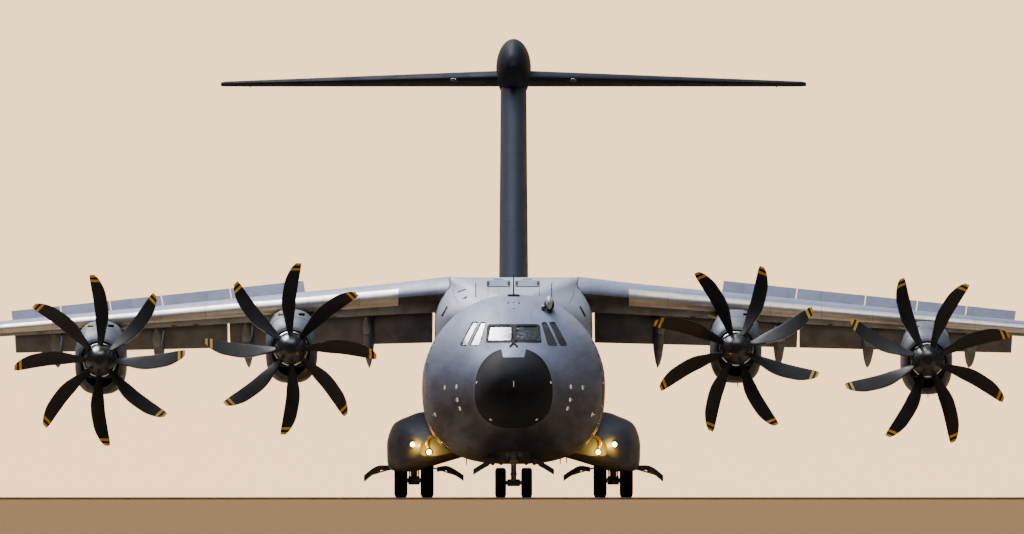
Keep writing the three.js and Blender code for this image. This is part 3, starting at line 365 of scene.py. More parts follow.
def carve(made, *tools):
    """Cuts an object by (operation, shape) pairs."""
    for number, (operation, shape) in enumerate(tools):
        tool = Piece(shape).object(f"{made.name}_tool_{number}")
        spare = made.data, tool.data
        change = made.modifiers.new("cut", "BOOLEAN")
        change.operation = operation
        change.object = tool
        change.solver = "MANIFOLD"
        bake(made)
        made.data.materials.clear()
        bpy.data.objects.remove(tool)
        for mesh in spare:
            bpy.data.meshes.remove(mesh)
    return made


def less(*shapes):
    return [("DIFFERENCE", shape) for shape in shapes]


def finish(made, body, looks, replaces=(), angle=32, mark=None):
    """Gives an object its materials, smooth shading and body, and hides the CAD parts it replaces."""
    mesh = made.data
    for look in looks:
        mesh.materials.append(look)
    if mark:
        for face in mesh.polygons:
            face.material_index = mark(face.center, face.normal, face.material_index)
    mesh.polygons.foreach_set("use_smooth", [True] * len(mesh.polygons))
    mesh.set_sharp_from_angle(angle=math.radians(angle))
    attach(made, body)
    if replaces:
        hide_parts(*replaces)
    return made


# Looks
class Look:
    """A procedural material on the standard surface shader."""

    def __init__(self, name, color, rough=0.5, metal=0.0, **values):
        self.material = bpy.data.materials.new(name)
        self.material.use_nodes = True
        self.tree = self.material.node_tree
        self.shader = next(node for node in self.tree.nodes if node.type == "BSDF_PRINCIPLED")
        self.set("Base Color", (*color, 1))
        self.set("Roughness", rough)
        self.set("Metallic", metal)
        for key, value in values.items():
            self.set(key.replace("_", " "), value)
        self.point = self.node("TexCoord").outputs["Object"]

    def set(self, name, value):
        self.feed(self.shader.inputs[name], value)

    def feed(self, socket, value):
        if isinstance(value, bpy.types.NodeSocket):
            self.tree.links.new(value, socket)
        else:
            socket.default_value = value

    def node(self, kind, inputs=None, **settings):
        made = self.tree.nodes.new("ShaderNode" + kind)
        for key, value in settings.items():
            setattr(made, key, value)
        for key, value in (inputs or {}).items():
            self.feed(made.inputs[key], value)
        return made

    def math(self, operation, *values):
        return self.node("Math", dict(enumerate(values)), operation=operation).outputs[0]

    def split(self):
        return self.node("SeparateXYZ", {0: self.point}).outputs

    def ramp(self, value, low, high, start=0.0, end=1.0):
        inputs = {"Value": value, "From Min": low, "From Max": high, "To Min": start, "To Max": end}
        return self.node("MapRange", inputs, interpolation_type="SMOOTHSTEP").outputs[0]

    def noise(self, scale, stretch=(1, 1, 1), detail=4.0):
        moved = self.node("VectorMath", {0: self.point, 1: stretch}, operation="MULTIPLY").outputs[0]
        return self.node("TexNoise", {"Vector": moved, "Scale": scale, "Detail": detail}).outputs[0]

    def mix(self, factor, a, b, blend="MIX"):
        made = self.node("Mix", data_type="RGBA", blend_type=blend)
        for socket, value in ((made.inputs[0], factor), (made.inputs[6], a), (made.inputs[7], b)):
            self.feed(socket, (*value, 1) if isinstance(value, tuple) and len(value) == 3 else value)
        return made.outputs[2]

    def random(self, value):
        return self.node("TexWhiteNoise", {"W": value}, noise_dimensions="1D").outputs[0]

    def shade(self, color, factor):
        """A colour times a number."""
        grey = self.node("CombineColor", {0: factor, 1: factor, 2: factor}).outputs[0]
        return self.mix(1.0, color, grey, "MULTIPLY")

    def finish(self, color, rough, height, distance=0.003, strength=0.6):
        self.set("Base Color", color)
        self.set("Roughness", rough)
        bump = self.node("Bump", {"Height": height, "Distance": distance, "Strength": strength})
        self.set("Normal", bump.outputs[0])
        return self.material


def hull_axes(look):
    x, y, z = look.split()
    angle = look.math("ARCTAN2", x, look.math("SUBTRACT", z, 1.66))
    return y, look.math("MULTIPLY", angle, 1.41)


def nacelle_axes(side, height):
    def axes(look):
        x, y, z = look.split()
        across = look.math("SUBTRACT", look.math("ABSOLUTE", x), side * SCALE)
        angle = look.math("ARCTAN2", across, look.math("SUBTRACT", z, height * SCALE))
        return y, look.math("MULTIPLY", angle, 0.4)

    return axes


def swept_axes(slope):
    def axes(look):
        x, y, _ = look.split()
        span = look.math("ABSOLUTE", x)
        return span, look.math("SUBTRACT", y, look.math("MULTIPLY", span, slope))

    return axes


def fin_axes(look):
    _, y, z = look.split()
    return z, look.math("SUBTRACT", y, look.math("MULTIPLY", z, 0.869))


def plain_axes(look):
    x, y, z = look.split()
    return y, look.math("ADD", look.math("MULTIPLY", x, 0.8), look.math("MULTIPLY", z, 0.6))


def radome_cover(look):
    """1 on the black of the radome, whose edge runs past the joint, less a square notch at its top."""
    x, y, z = look.split()
    m = look.math
    across = m("ABSOLUTE", x)
    height = m("SUBTRACT", z, 3201 * SCALE)
    level = m("MAXIMUM", m("DIVIDE", height, 1377 * SCALE), m("DIVIDE", height, -1075 * SCALE))
    round_edge = m("ADD", m("POWER", m("DIVIDE", across, 1188 * SCALE), 2.4), m("POWER", level, 2.3))
    black = look.ramp(round_edge, 1.0, 1.012, 1.0, 0.0)
    notch_half = m("ADD", m("MULTIPLY", m("SUBTRACT", z, 4285 * SCALE), 0.21), 325 * SCALE)
    notch = m("MINIMUM", m("SUBTRACT", notch_half, across), m("SUBTRACT", z, 4285 * SCALE))
    ahead = look.ramp(y, (3450 - LENGTH / 2) * SCALE, (3500 - LENGTH / 2) * SCALE, 1.0, 0.0)
    return m("MULTIPLY", m("MULTIPLY", black, look.ramp(notch, 0.0, 0.006, 1.0, 0.0)), ahead)


FLOW = (1, 0.12, 1)
JOINT, RIVET_PITCH, RIVET_INSET = 0.0035, 0.03, 0.012


def paint(
    name, color, axes, panel, rough=0.5, shade_and_grime=0.35, metal=0.0,
    cover=None, shade_from=0.35, shine=0.5, front_painted_light=None,
):
    """Painted panels: joints, rivet rows, a tone for each panel, streaks along the airflow, and painted shade
    that darkens the faces looking down, with blotches of grime.

    The cover blackens a part of it, and a front colour, where given, is painted light on the faces that look
    forward: lighter for a painted highlight, darker for a painted shade.
    """
    look = Look(name, color, rough, metal, Specular_IOR_Level=shine)
    m = look.math
    covered = cover(look) if cover else 0.0
    u, v = axes(look)
    row = m("FLOOR", m("DIVIDE", u, panel[0]))
    shifted = m("ADD", v, m("MULTIPLY", look.random(row), panel[1]))
    cell = m("FLOOR", m("DIVIDE", shifted, panel[1]))
    du = m("PINGPONG", u, panel[0] / 2)
    dv = m("PINGPONG", shifted, panel[1] / 2)
    bare = m("SUBTRACT", 1.0, covered)
    joint = m("MULTIPLY", look.ramp(m("MINIMUM", du, dv), JOINT * 0.3, JOINT, 1.0, 0.0), bare)
    dots = []
    for across, along in ((du, v), (dv, u)):
        a = m("SUBTRACT", across, RIVET_INSET)
        b = m("PINGPONG", along, RIVET_PITCH / 2)
        dots.append(m("SQRT", m("ADD", m("MULTIPLY", a, a), m("MULTIPLY", b, b))))
    rivet = m("MULTIPLY", look.ramp(m("MINIMUM", *dots), 0.0016, 0.0026, 1.0, 0.0), bare)

    tone = m("ADD", m("MULTIPLY", look.random(m("ADD", m("MULTIPLY", row, 7.3), cell)), 0.09), 0.955)
    cloud = m("ADD", m("MULTIPLY", look.noise(1.3), 0.3), 0.85)
    streak = look.ramp(look.noise(9.0, FLOW, 6.0), 0.35, 0.75, 1.04, 0.9)
    base = look.shade((*color, 1), m("MULTIPLY", m("MULTIPLY", tone, cloud), streak))
    _, back, up = look.node("SeparateXYZ", {0: look.node("NewGeometry").outputs["Normal"]}).outputs
    # Painted shade: faces that look down are darkened towards the near-black colour below, the sides less so;
    # the blotches add some real grime, and the strength given for each paint scales both.
    under = look.ramp(up, -0.6, shade_from, 1.0, 0.0)
    blotch = look.ramp(look.noise(4.0, FLOW, 8.0), 0.4, 0.7)
    shaded_and_soiled = m("ADD", m("MULTIPLY", under, 0.95), m("MULTIPLY", blotch, 0.14))
    shade_and_dirt = m("MINIMUM", m("MULTIPLY", shaded_and_soiled, shade_and_grime), 0.92)
    base = look.mix(shade_and_dirt, base, (0.018, 0.013, 0.012))
    # Painted light on the faces that look forward: a lighter front colour paints a highlight, a darker one
    # paints shade.
    if front_painted_light:
        base = look.mix(look.ramp(back, -0.1, -0.02, 1.0, 0.0), base, front_painted_light)
    base = look.mix(m("MULTIPLY", joint, 0.72), base, (0.03, 0.032, 0.038))
    base = look.mix(m("MULTIPLY", rivet, 0.25), base, (0.06, 0.065, 0.075))
    fine = look.noise(60.0, (1, 1, 1), 3.0)
    rough_map = m("ADD", m("MULTIPLY", blotch, 0.12), m("ADD", m("MULTIPLY", fine, 0.08), rough - 0.06))
    if cover:
        smudged = look.mix(blotch, (0.007, 0.007, 0.01), (0.014, 0.014, 0.018))
        base = look.mix(covered, base, smudged)
        rough_map = m("ADD", rough_map, m("MULTIPLY", covered, 0.3))
    height = m("ADD", m("SUBTRACT", m("MULTIPLY", rivet, 0.25), joint), m("MULTIPLY", fine, 0.05))
    return look.finish(base, rough_map, height)


def worn(
    name, color, rough=0.5, metal=0.0, dark=(0.02, 0.018, 0.016), scale=14.0, wear=0.35, bump=0.12, **values,
):
    """A plain finish with blotches, fine grain and uneven gloss."""
    look = Look(name, color, rough, metal, **values)
    m = look.math
    blotch = look.ramp(look.noise(scale, (1, 1, 1), 8.0), 0.38, 0.72)
    grain = look.noise(scale * 18, (1, 1, 1), 2.0)
    base = look.mix(m("MULTIPLY", blotch, wear), (*color, 1), dark)
    base = look.shade(base, m("ADD", m("MULTIPLY", grain, 0.25), 0.875))
    fine = m("ADD", m("MULTIPLY", grain, 0.1), max(rough - 0.08, 0.03))
    rough_map = m("ADD", m("MULTIPLY", blotch, 0.15), fine)
    return look.finish(base, rough_map, grain, 0.001, bump)


GREY = (0.235, 0.27, 0.39)
GREY_DARK = (0.13, 0.155, 0.205)
NACELLE_GREY = (0.1, 0.115, 0.15)
# On the hull the painted shade reaches all but the faces that look straight up, and is strong.
hull_values = {"axes": hull_axes, "panel": (1.05, 0.62), "shade_from": 0.95, "shine": 0.14}
hull_paint = paint("hull_paint", GREY, shade_and_grime=0.92, **hull_values)
nose_paint = paint("nose_paint", GREY, shade_and_grime=0.9, cover=radome_cover, **hull_values)
wing_axes = swept_axes(0.327)
wing_paint = paint("wing_paint", GREY, wing_axes, (1.2, 0.55))
# Painted shade: a much darker copy of the wing's grey for the faces of wings, flaps and ailerons that look
# down.
wing_shaded_under = paint("wing_shaded_under", (0.075, 0.08, 0.1), wing_axes, (1.2, 0.55), shade_and_grime=0.85)
# The fairing's front colour is a painted highlight on its forward slope.
fairing_paint = paint("fairing_paint", GREY, hull_axes, (1.4, 0.7), shade_and_grime=0.3, front_painted_light=(0.36, 0.4, 0.47))
# The tail's front colour is a painted shade, nearly black, on the faces that look forward.
tail_paint = paint(
    "tail_paint", GREY_DARK, swept_axes(0.43), (1.0, 0.4), rough=0.65, shine=0.08, front_painted_light=(0.017, 0.021, 0.033)
)
# The fin's front colour is a painted shade on its leading edge.
fin_paint = paint(
    "fin_paint", GREY_DARK, fin_axes, (1.1, 0.7), rough=0.65, shine=0.15, front_painted_light=(0.066, 0.077, 0.11),
)
# The small parts' front colour is a painted shade on the faces that look forward.
small_paint = paint(
    "small_paint", GREY_DARK, plain_axes, (0.45, 0.33), shade_and_grime=0.8, shine=0.3, front_painted_light=(0.05, 0.057, 0.075)
)
arm_paint = paint("arm_paint", (0.075, 0.07, 0.075), plain_axes, (0.7, 0.5), shade_and_grime=0.6)
nacelle_paints = {
    side: paint(f"nacelle_paint_{side}", NACELLE_GREY, nacelle_axes(side, height), (0.62, 0.42), shade_and_grime=0.85)
    for side, height in ((6900, 4615), (12850, 4270))
}
edge_metal = paint("edge_metal", (0.78, 0.71, 0.64), wing_axes, (0.8, 4.0), rough=0.4, metal=0.6, shade_and_grime=0.12)
matt_black = worn("matt_black", (0.01, 0.01, 0.012), 0.7, Specular_IOR_Level=0.12)
blade_black = worn(
    "blade_black", (0.014, 0.014, 0.016), 0.5, scale=6.0, dark=(0.035, 0.03, 0.028), wear=0.3,
    Specular_IOR_Level=0.22,
)
spinner_black = worn(
    "spinner_black", (0.02, 0.021, 0.027), 0.3, scale=5.0, dark=(0.05, 0.05, 0.055), wear=0.25, bump=0.05
)
blade_edge = worn("blade_edge", (0.34, 0.33, 0.31), 0.32, 0.9, scale=20.0)
tip_yellow = worn("tip_yellow", (0.8, 0.43, 0.03), 0.5, dark=(0.1, 0.06, 0.02), wear=0.3)
liner = worn("liner", (0.28, 0.3, 0.29), 0.75, dark=(0.1, 0.1, 0.09), wear=0.4)
primer = worn("primer", (0.32, 0.33, 0.3), 0.55, dark=(0.05, 0.045, 0.04), wear=0.5)
gear_paint = worn("gear_paint", (0.3, 0.31, 0.32), 0.45, dark=(0.03, 0.025, 0.02), wear=0.6)
steel = worn("polished_steel", (0.6, 0.6, 0.6), 0.2, 1.0, scale=24.0, dark=(0.2, 0.18, 0.16), wear=0.3)
rim_paint = worn("rim_paint", (0.42, 0.43, 0.43), 0.4, dark=(0.04, 0.035, 0.03), wear=0.55, scale=30.0)
rubber = worn("rubber", (0.02, 0.02, 0.021), 0.82, dark=(0.07, 0.06, 0.05), wear=0.5, scale=18.0, bump=0.3)
hose = worn("hose", (0.015, 0.015, 0.015), 0.5)
deck_look = worn("deck", (0.1, 0.105, 0.11), 0.6, dark=(0.3, 0.29, 0.27), wear=0.25, scale=9.0)
panel_look = worn("instrument_panel", (0.05, 0.053, 0.06), 0.55)
cloth = worn("seat_cloth", (0.035, 0.04, 0.048), 0.95, scale=40.0, bump=0.4)
hot_metal = worn("hot_metal", (0.24, 0.17, 0.12), 0.38, 1.0, dark=(0.03, 0.025, 0.03), wear=0.6, scale=10.0)
pale_paint = worn("pale_paint", (0.5, 0.51, 0.54), 0.4, wear=0.15)
# Painted glint: a pale paint that glows faintly warm, standing in for lamp light caught by small fittings.
glint_glow_paint = worn(
    "glint_glow_paint", (0.85, 0.75, 0.62), 0.3, wear=0.1,
    Emission_Strength=0.35, Emission_Color=(1.0, 0.75, 0.5, 1),
)
bronze = worn("bronze", (0.5, 0.3, 0.12), 0.35, 0.8, wear=0.3)
warning_yellow = worn("warning_yellow", (0.75, 0.52, 0.02), 0.5, dark=(0.2, 0.12, 0.02), wear=0.2)
webbing = worn("webbing", (0.1, 0.11, 0.1), 0.9, scale=60.0, bump=0.5)
glass = worn(
    "glass", (0.5, 0.55, 0.6), 0.03, dark=(0.35, 0.36, 0.38), wear=0.2, bump=0.01,
    Transmission_Weight=0.9, IOR=1.9,
)
eye_glass = worn("eye_glass", (0.01, 0.01, 0.014), 0.08, wear=0.1, bump=0.02, Coat_Weight=1.0)
lens = worn(
    "lens", (0.95, 0.95, 0.9), 0.05, dark=(0.6, 0.6, 0.55), wear=0.15, bump=0.02, Transmission_Weight=0.9,
)
lamp = worn(
    "lamp", (1.0, 0.86, 0.5), 0.3, dark=(0.8, 0.5, 0.2), wear=0.3,
    Emission_Strength=22.0, Emission_Color=(1.0, 0.72, 0.3, 1),
)
screen = worn(
    "screen", (0.01, 0.03, 0.04), 0.15, wear=0.4, bump=0.02,
    Emission_Strength=0.25, Emission_Color=(0.1, 0.45, 0.5, 1),
)
red_lens = worn("red_lens", (0.5, 0.01, 0.01), 0.1, wear=0.3, bump=0.05, Transmission_Weight=0.4)
green_lens = worn("green_lens", (0.01, 0.35, 0.05), 0.1, wear=0.3, bump=0.05, Transmission_Weight=0.4)


# Fuselage
def on_side(station, angle, proud=0):
    """The placed point of the skin at a station and an angle from the crown, in degrees."""
    return on_section(read_row(HULL, station), station, math.radians(angle), proud)


def on_section(row, station, angle, proud):
    half, top, bottom, wide, square = row
    c, s = math.cos(angle), math.sin(angle)
    power = 1 if c >= 0 else 2 / square
    height = (top - wide if c >= 0 else wide - bottom) + proud
    return place(signed_power(s, power) * (half + proud), station, wide + height * signed_power(c, power))


def hull_ring(station, inset=0):
    row = read_row(HULL, station)
    return [on_section(row, station, math.tau * i / HULL_SIDES, -inset) for i in range(HULL_SIDES)]


def hull_stations(start, end):
    stations = [start]
    while stations[-1] < end:
        here = stations[-1]
        stations.append(here + (40 if here < 700 else 130 if here < 8200 else 650 if here < 25000 else 260))
    stations[-1] = end
    if len(stations) > 2 and stations[-1] - stations[-2] < 20:
        stations.pop(-2)
    return stations


def hull(start, end, inset=0):
    return loft([hull_ring(station, inset) for station in hull_stations(start, end)])


def hull_level(x, station, z):
    """1 on the skin, less inside."""
    half, top, bottom, wide, square = read_row(HULL, station)
    if z >= wide:
        return math.hypot(x / half, (z - wide) / (top - wide))
    return ((abs(x) / half) ** square + ((wide - z) / (wide - bottom)) ** square) ** (1 / square)


def on_nose(x, z, proud=0):
    """The placed point of the skin in front of (x, z), moved outwards by a few millimetres."""
    low, high = 0, 9000
    for _ in range(22):
        middle = (low + high) / 2
        if hull_level(x, middle, z) > 1:
            low = middle
        else:
            high = middle
    gap = 12
    level = hull_level(x, high, z)
    slope = Vector((
        (hull_level(x + gap, high, z) - level) / gap,
        (hull_level(x, high + gap, z) - level) / gap,
        (hull_level(x, high, z + gap) - level) / gap,
    ))
    return place(x, high, z) + slope.normalized() * proud * SCALE


def foot_on(on, *at, low=-6, high=60):
    """A placed point just under a skin, and the way out of it."""
    foot = on(*at, low)
    return foot, on(*at, high) - foot


def nose_patch(outline, low, high, on=on_nose):
    """A plate that follows the nose skin behind an outline seen from the front."""
    rings = []
    outline = dense(list(outline))
    middle = Vector((sum(x for x, _ in outline), sum(z for _, z in outline))) / len(outline)
    reach = max((Vector(point) - middle).length for point in outline)
    count = math.ceil(reach / PATCH_STEP)
    shares = [0.02] + [k / count for k in range(1, count + 1)]
    for proud, order in ((low, shares), (high, shares[::-1])):
        for share in order:
            points = [middle.lerp(Vector(point), share) for point in outline]
            rings.append([on(x, z, proud) for x, z in points])
    return loft(rings)


# Panes on the left: corners (x, z), radius of the corners
PANES = (
    (((55, 4800), (830, 4800), (800, 5290), (55, 5290)), 70),
    (((1050, 4670), (1340, 4660), (1000, 5380), (850, 5370)), 60),
    (((1430, 4660), (1640, 4670), (1260, 5390), (1080, 5385)), 60),
)
# Two x, two stations, two heights
NOSE_BAY = (-520, 520, 4250, 6050, 500, 2300)
# First and last station, foot, head
CREW_DOOR = (6800, 7650, 1900, 3900)
# First and last station, half width; the cargo door has a front and a rear half width
RAMP = (25850, 31150, 1950)
CARGO_DOOR = (31250, 36700, 1800, 980)


def inside_mark(wall):
    """Number 1 for the faces of the inner surface, 0 for the outer skin."""

    def mark(centre, normal, old):
        x, station, z = unplace(centre)
        return 1 if hull_level(x, station, z) < 1 - 0.55 * wall / max(read(HULL, 1, station), 200) else old

    return mark


def shell(name, start, end, wall):
    made = Piece(hull(start + SEAM / 2, end - SEAM / 2)).object(name)
    return carve(made, *less(hull(start - 60, end + 60, wall)))


def finish_shell(made, node, wall=WALL, outer=hull_paint, inner=liner, body="airframe"):
    finish(made, body, (outer, inner), [node], mark=inside_mark(wall))


def make_nose():
    nose = shell("nose_skin", JOINTS["radome"], JOINTS["nose"], WALL)
    cuts = [box(*NOSE_BAY)]
    panes = Piece()
    seals = Piece()
    for sign in (1, -1):
        for corners, soft in PANES:
            outline = dense(rounded(mirrored(corners, sign), soft, 6))
            cuts.append(front_prism(outline, 1700, 5700))
            panes.add(nose_patch(outline, -34, -9))
            seals.add(loop_tube([on_nose(x, z, 1) for x, z in outline], 13))
    carve(nose, *less(*cuts))
    finish_shell(nose, "fuselage_nose", outer=nose_paint)
    finish(panes.object("windscreen_panes"), "airframe", (glass,), ["windscreen_glass"])
    finish(seals.object("windscreen_seals"), "airframe", (rubber,))

    # Black frame round the two front panes
    edge = rounded(((-860, 4745), (860, 4745), (775, 5315), (-775, 5315)), 70, 6)
    surround = Piece(nose_patch(edge, -5, 8)).object("windscreen_surround")
    clear = ((62, 4805), (800, 4805), (718, 5252), (62, 5252))
    openings = [dense(rounded(mirrored(clear, sign), 34, 5)) for sign in (1, -1)]
    carve(surround, *less(*[front_prism(opening, 1700, 5700) for opening in openings]))
    finish(surround, "airframe", (matt_black,))
    beads = Piece()
    for opening in openings:
        beads.add(loop_tube([on_nose(x, z, 9) for x, z in opening], 8))
    finish(beads.object("windscreen_beads"), "airframe", (rubber,))

    # Wipers: crossed arms at the foot, blades parked beside the centre post
    wipers = Piece()
    for sign in (1, -1):
        foot, elbow = on_nose(sign * 105, 4612, 24), on_nose(-sign * 66, 4790, 34 + 10 * sign)
        pivot = on_nose(sign * 105, 4612, -6)
        wipers.add(lathe(((0, 0), (34, 2), (30, 30), (16, 44), (0, 45)), pivot, Z - Y, 20))
        wipers.add(bar(foot, elbow, 27, 20, 12))
        wipers.add(bar(elbow, on_nose(-sign * 60, 5010, 40), 15, 11, 12))
        blade = [on_nose(-sign * 56, z, 18) for z in (4810, 4910, 5010, 5110, 5210)]
        wipers.add(tube(blade, 13, 8))
    finish(wipers.object("wipers"), "airframe", (matt_black,))


# Blade aerials: x, station, height of the root and the tip, chord, thickness
AERIALS = (
    (0, 7100, 6180, 6880, 340, 50),
    (-1450, 8600, 1300, 1000, 330, 45),
    (1440, 9300, 1300, 1040, 300, 45),
    (1630, 7700, 1420, 1060, 260, 45),
)
AERIAL_STEPS = (0, 0.01, 0.04, 0.1, 0.2, 0.35, 0.5, 0.7, 0.86, 1)
TURNS = [math.tau * k / 28 for k in range(28)]
# Air data probes, round ports beside the panes and studs over them: x and height
PROBES = (2109, 3374), (1748, 3399), (1723, 3000), (1644, 2734), (2404, 2556)
PORTS = (2440, 4769), (2520, 4594), (2594, 4383)
PIPE_STATION = 6700
STUDS = (-165, 6005), (-165, 5965), (0, 5990), (165, 6005), (165, 5965), (0, 5800)


def make_nose_fittings():
    """Sensor pod, probes, aerials and small openings on the front fuselage."""
    pod = Piece()
    pod.add(ball(place(1090, 5540, 5975), (118, 640, 225), 40, 24), 0)
    pod.add(ball(place(1090, 5660, 5925), (160, 590, 215), 40, 24), 1)
    pod.add(ball(place(930, 5230, 5830), (85, 85, 85), 28, 18), 2)
    pod.add(lathe(((60, -4), (88, 2), (94, 30), (88, 60), (60, 64)), place(930, 5220, 5818), Y, 36), 3)
    pod.add(lathe(((0, 0), (30, 2), (28, 12), (0, 14)), place(905, 5140, 5850), Y, 24), 3)
    finish(pod.object("sensor_pod"), "airframe", (pale_paint, matt_black, eye_glass, steel))

    # Air data probes: a foot plate and a bent tube pointing forward
    probes = Piece()
    for x, z in PROBES:
        for sign in (1, -1):
            root, knee = on_nose(sign * x, z, -4), on_nose(sign * x, z, 85)
            out = (knee - root).normalized()
            # The foot plates glow faintly in the glint paint, a painted glint.
            probes.add(lathe(((0, 0), (66, 0), (70, 6), (58, 16), (0, 22)), root, out, 24), 2)
            line = [root, root + out * 50 * SCALE, knee, knee - Y * 70 * SCALE, knee - Y * 190 * SCALE]
            probes.add(tube(line, 14), 1)
    for x, z in PORTS:
        for sign in (1, -1):
            probes.add(ball(on_nose(sign * x, z), (28, 28, 28), 16, 10))
    for x, z in STUDS:
        probes.add(ball(on_nose(x, z), (34, 40, 16), 16, 10))
    finish(probes.object("air_data_probes"), "airframe", (matt_black, steel, glint_glow_paint))

    # Drain pipes along the lower sides
    pipes = Piece()
    for sign, first in ((1, 84), (-1, 112)):
        pipes.add(tube([on_side(PIPE_STATION, sign * lerp(first, 141, k / 30), 14) for k in range(31)], 20))
        for k in range(5):
            foot, out = foot_on(on_side, PIPE_STATION, sign * lerp(first + 4, 138, k / 4), high=50)
            pipes.add(lathe(((0, 0), (40, 0), (40, 24), (30, 42), (0, 44)), foot, out, 20), 1)
    finish(pipes.object("drain_pipes"), "airframe", (bronze, steel))

    # Blade aerials on the crown and the belly
    aerials = Piece()
    for x, station, root, tip, chord, thick in AERIALS:
        rings = []
        for step in range(13):
            t = step / 12
            full = chord * lerp(1, 0.45, t)
            size = full * math.sqrt(max(1 - max(t - 0.86, 0) ** 2 * 40, 0.1))
            front = station + 0.35 * abs(tip - root) * t + (full - size) / 2
            wide = thick * lerp(1, 0.6, t) / 0.6 * 0.3
            section = aerofoil(half_thickness, underside, AERIAL_STEPS)
            rings.append([place(x + h * wide, front + u * size, lerp(root, tip, t)) for u, h in section])
        aerials.add(loft(rings))
        low, high = (root + 80, root + 62) if tip < root else (root + 2, root + 20)
        outline = [(x + 90 * math.cos(a), station + chord / 2 + chord * 0.62 * math.sin(a)) for a in TURNS]
        aerials.add(plan_prism(outline, low, high), 1)
    base = rounded(rectangle(-190, 190, 7020, 7640), 150, 8)
    aerials.add(plan_prism(base, 6160, 6240), 1)
    inner = [(x * 0.93, 7330 + (s - 7330) * 0.97) for x, s in base]
    aerials.add(plan_prism(inner, 6239, 6262), 1)
    finish(aerials.object("blade_aerials"), "airframe", (matt_black, hull_paint))


def make_radome():
    made = Piece(hull(0, JOINTS["radome"] - SEAM)).object("radome_shell")
    finish(made, "airframe", (nose_paint,), ["radome"])
    # The radome's fittings glow faintly in the glint paint, a painted glint.
    fittings = Piece()
    for sign in (1, -1):
        for x, z in ((1130, 3520), (700, 2390)):
            foot, out = foot_on(on_nose, sign * x, z, low=-3, high=20)
            fittings.add(lathe(((0, 0), (44, 0), (44, 8), (32, 18), (0, 24)), foot, out, 20))
    fittings.add(tube([on_nose(0, z, 2) for z in (3380, 3440, 3500, 3560)], 9, 8))
    finish(fittings.object("radome_fittings"), "airframe", (glint_glow_paint,))


def make_forward():
    start, end, low, high = CREW_DOOR
    forward = shell("forward_skin", JOINTS["nose"], JOINTS["forward"], WALL)
    hole = side_prism(rounded(rectangle(*CREW_DOOR), 130), 1500, 3200)
    carve(forward, *less(hole))
    finish_shell(forward, "fuselage_forward")

    door = shell("crew_door_skin", JOINTS["nose"], JOINTS["forward"], WALL)
    corners = rectangle(start + CLEAR, end - CLEAR, low + CLEAR, high - CLEAR)
    carve(door, ("INTERSECT", side_prism(rounded(corners, 120), 1500, 3200)))
    finish_shell(door, "crew_door", inner=primer, body="crew_door")
    steps = Piece()
    for z in (2250, 2600, 2950, 3300):
        steps.add(box(2380, 2500, start + 130, end - 130, z, z + 36))
    handle = (2843, 7180), (2868, 7200), (2868, 7300), (2843, 7320)
    steps.add(tube([place(x, station, 2930) for x, station in handle], 14))
    finish(steps.object("crew_door_steps"), "crew_door", (steel,))


# Flight deck
SEAT_X = 560
DECK_TOP = 3780
# Cushions: name, size, fill, farthest move, channels across an axis, station and height, lean in degrees
CUSHIONS = (
    ("pan", (430, 470, 100), 0.7, 0.008, (("x", -110), ("x", 110), ("y", 60)), (4575, 4335), 4),
    ("back", (420, 520, 90), 0.7, 0.008, (("x", 0), ("y", -120), ("y", 90)), (4795, 4600), 100.5),
    ("head", (270, 150, 80), 0.8, 0.006, (("x", 0),), (4868, 4930), 100.5),
)
CHANNEL_DEPTH, CHANNEL_WIDTH = 0.0045, 0.0035
# Side views of the seat's shell and arm bracket, and the line of its arm rest: station and height
SEAT_SHELL = (
    (4330, 4190), (4700, 4170), (4775, 4200), (4830, 4300), (4960, 5000), (4985, 5010),
    (5035, 5008), (4900, 4250), (4850, 4150), (4700, 4110), (4330, 4150),
)
SEAT_BRACKET = (4420, 4180), (4800, 4180), (4840, 4380), (4780, 4400), (4480, 4250)
ARM_REST = (4850, 4480), (4700, 4500), (4500, 4495), (4450, 4480)
# Shoulder straps: distance from the middle, station and height
STRAPS = (70, 4870, 4860), (62, 4830, 4780), (60, 4745, 4560), (50, 4700, 4420)


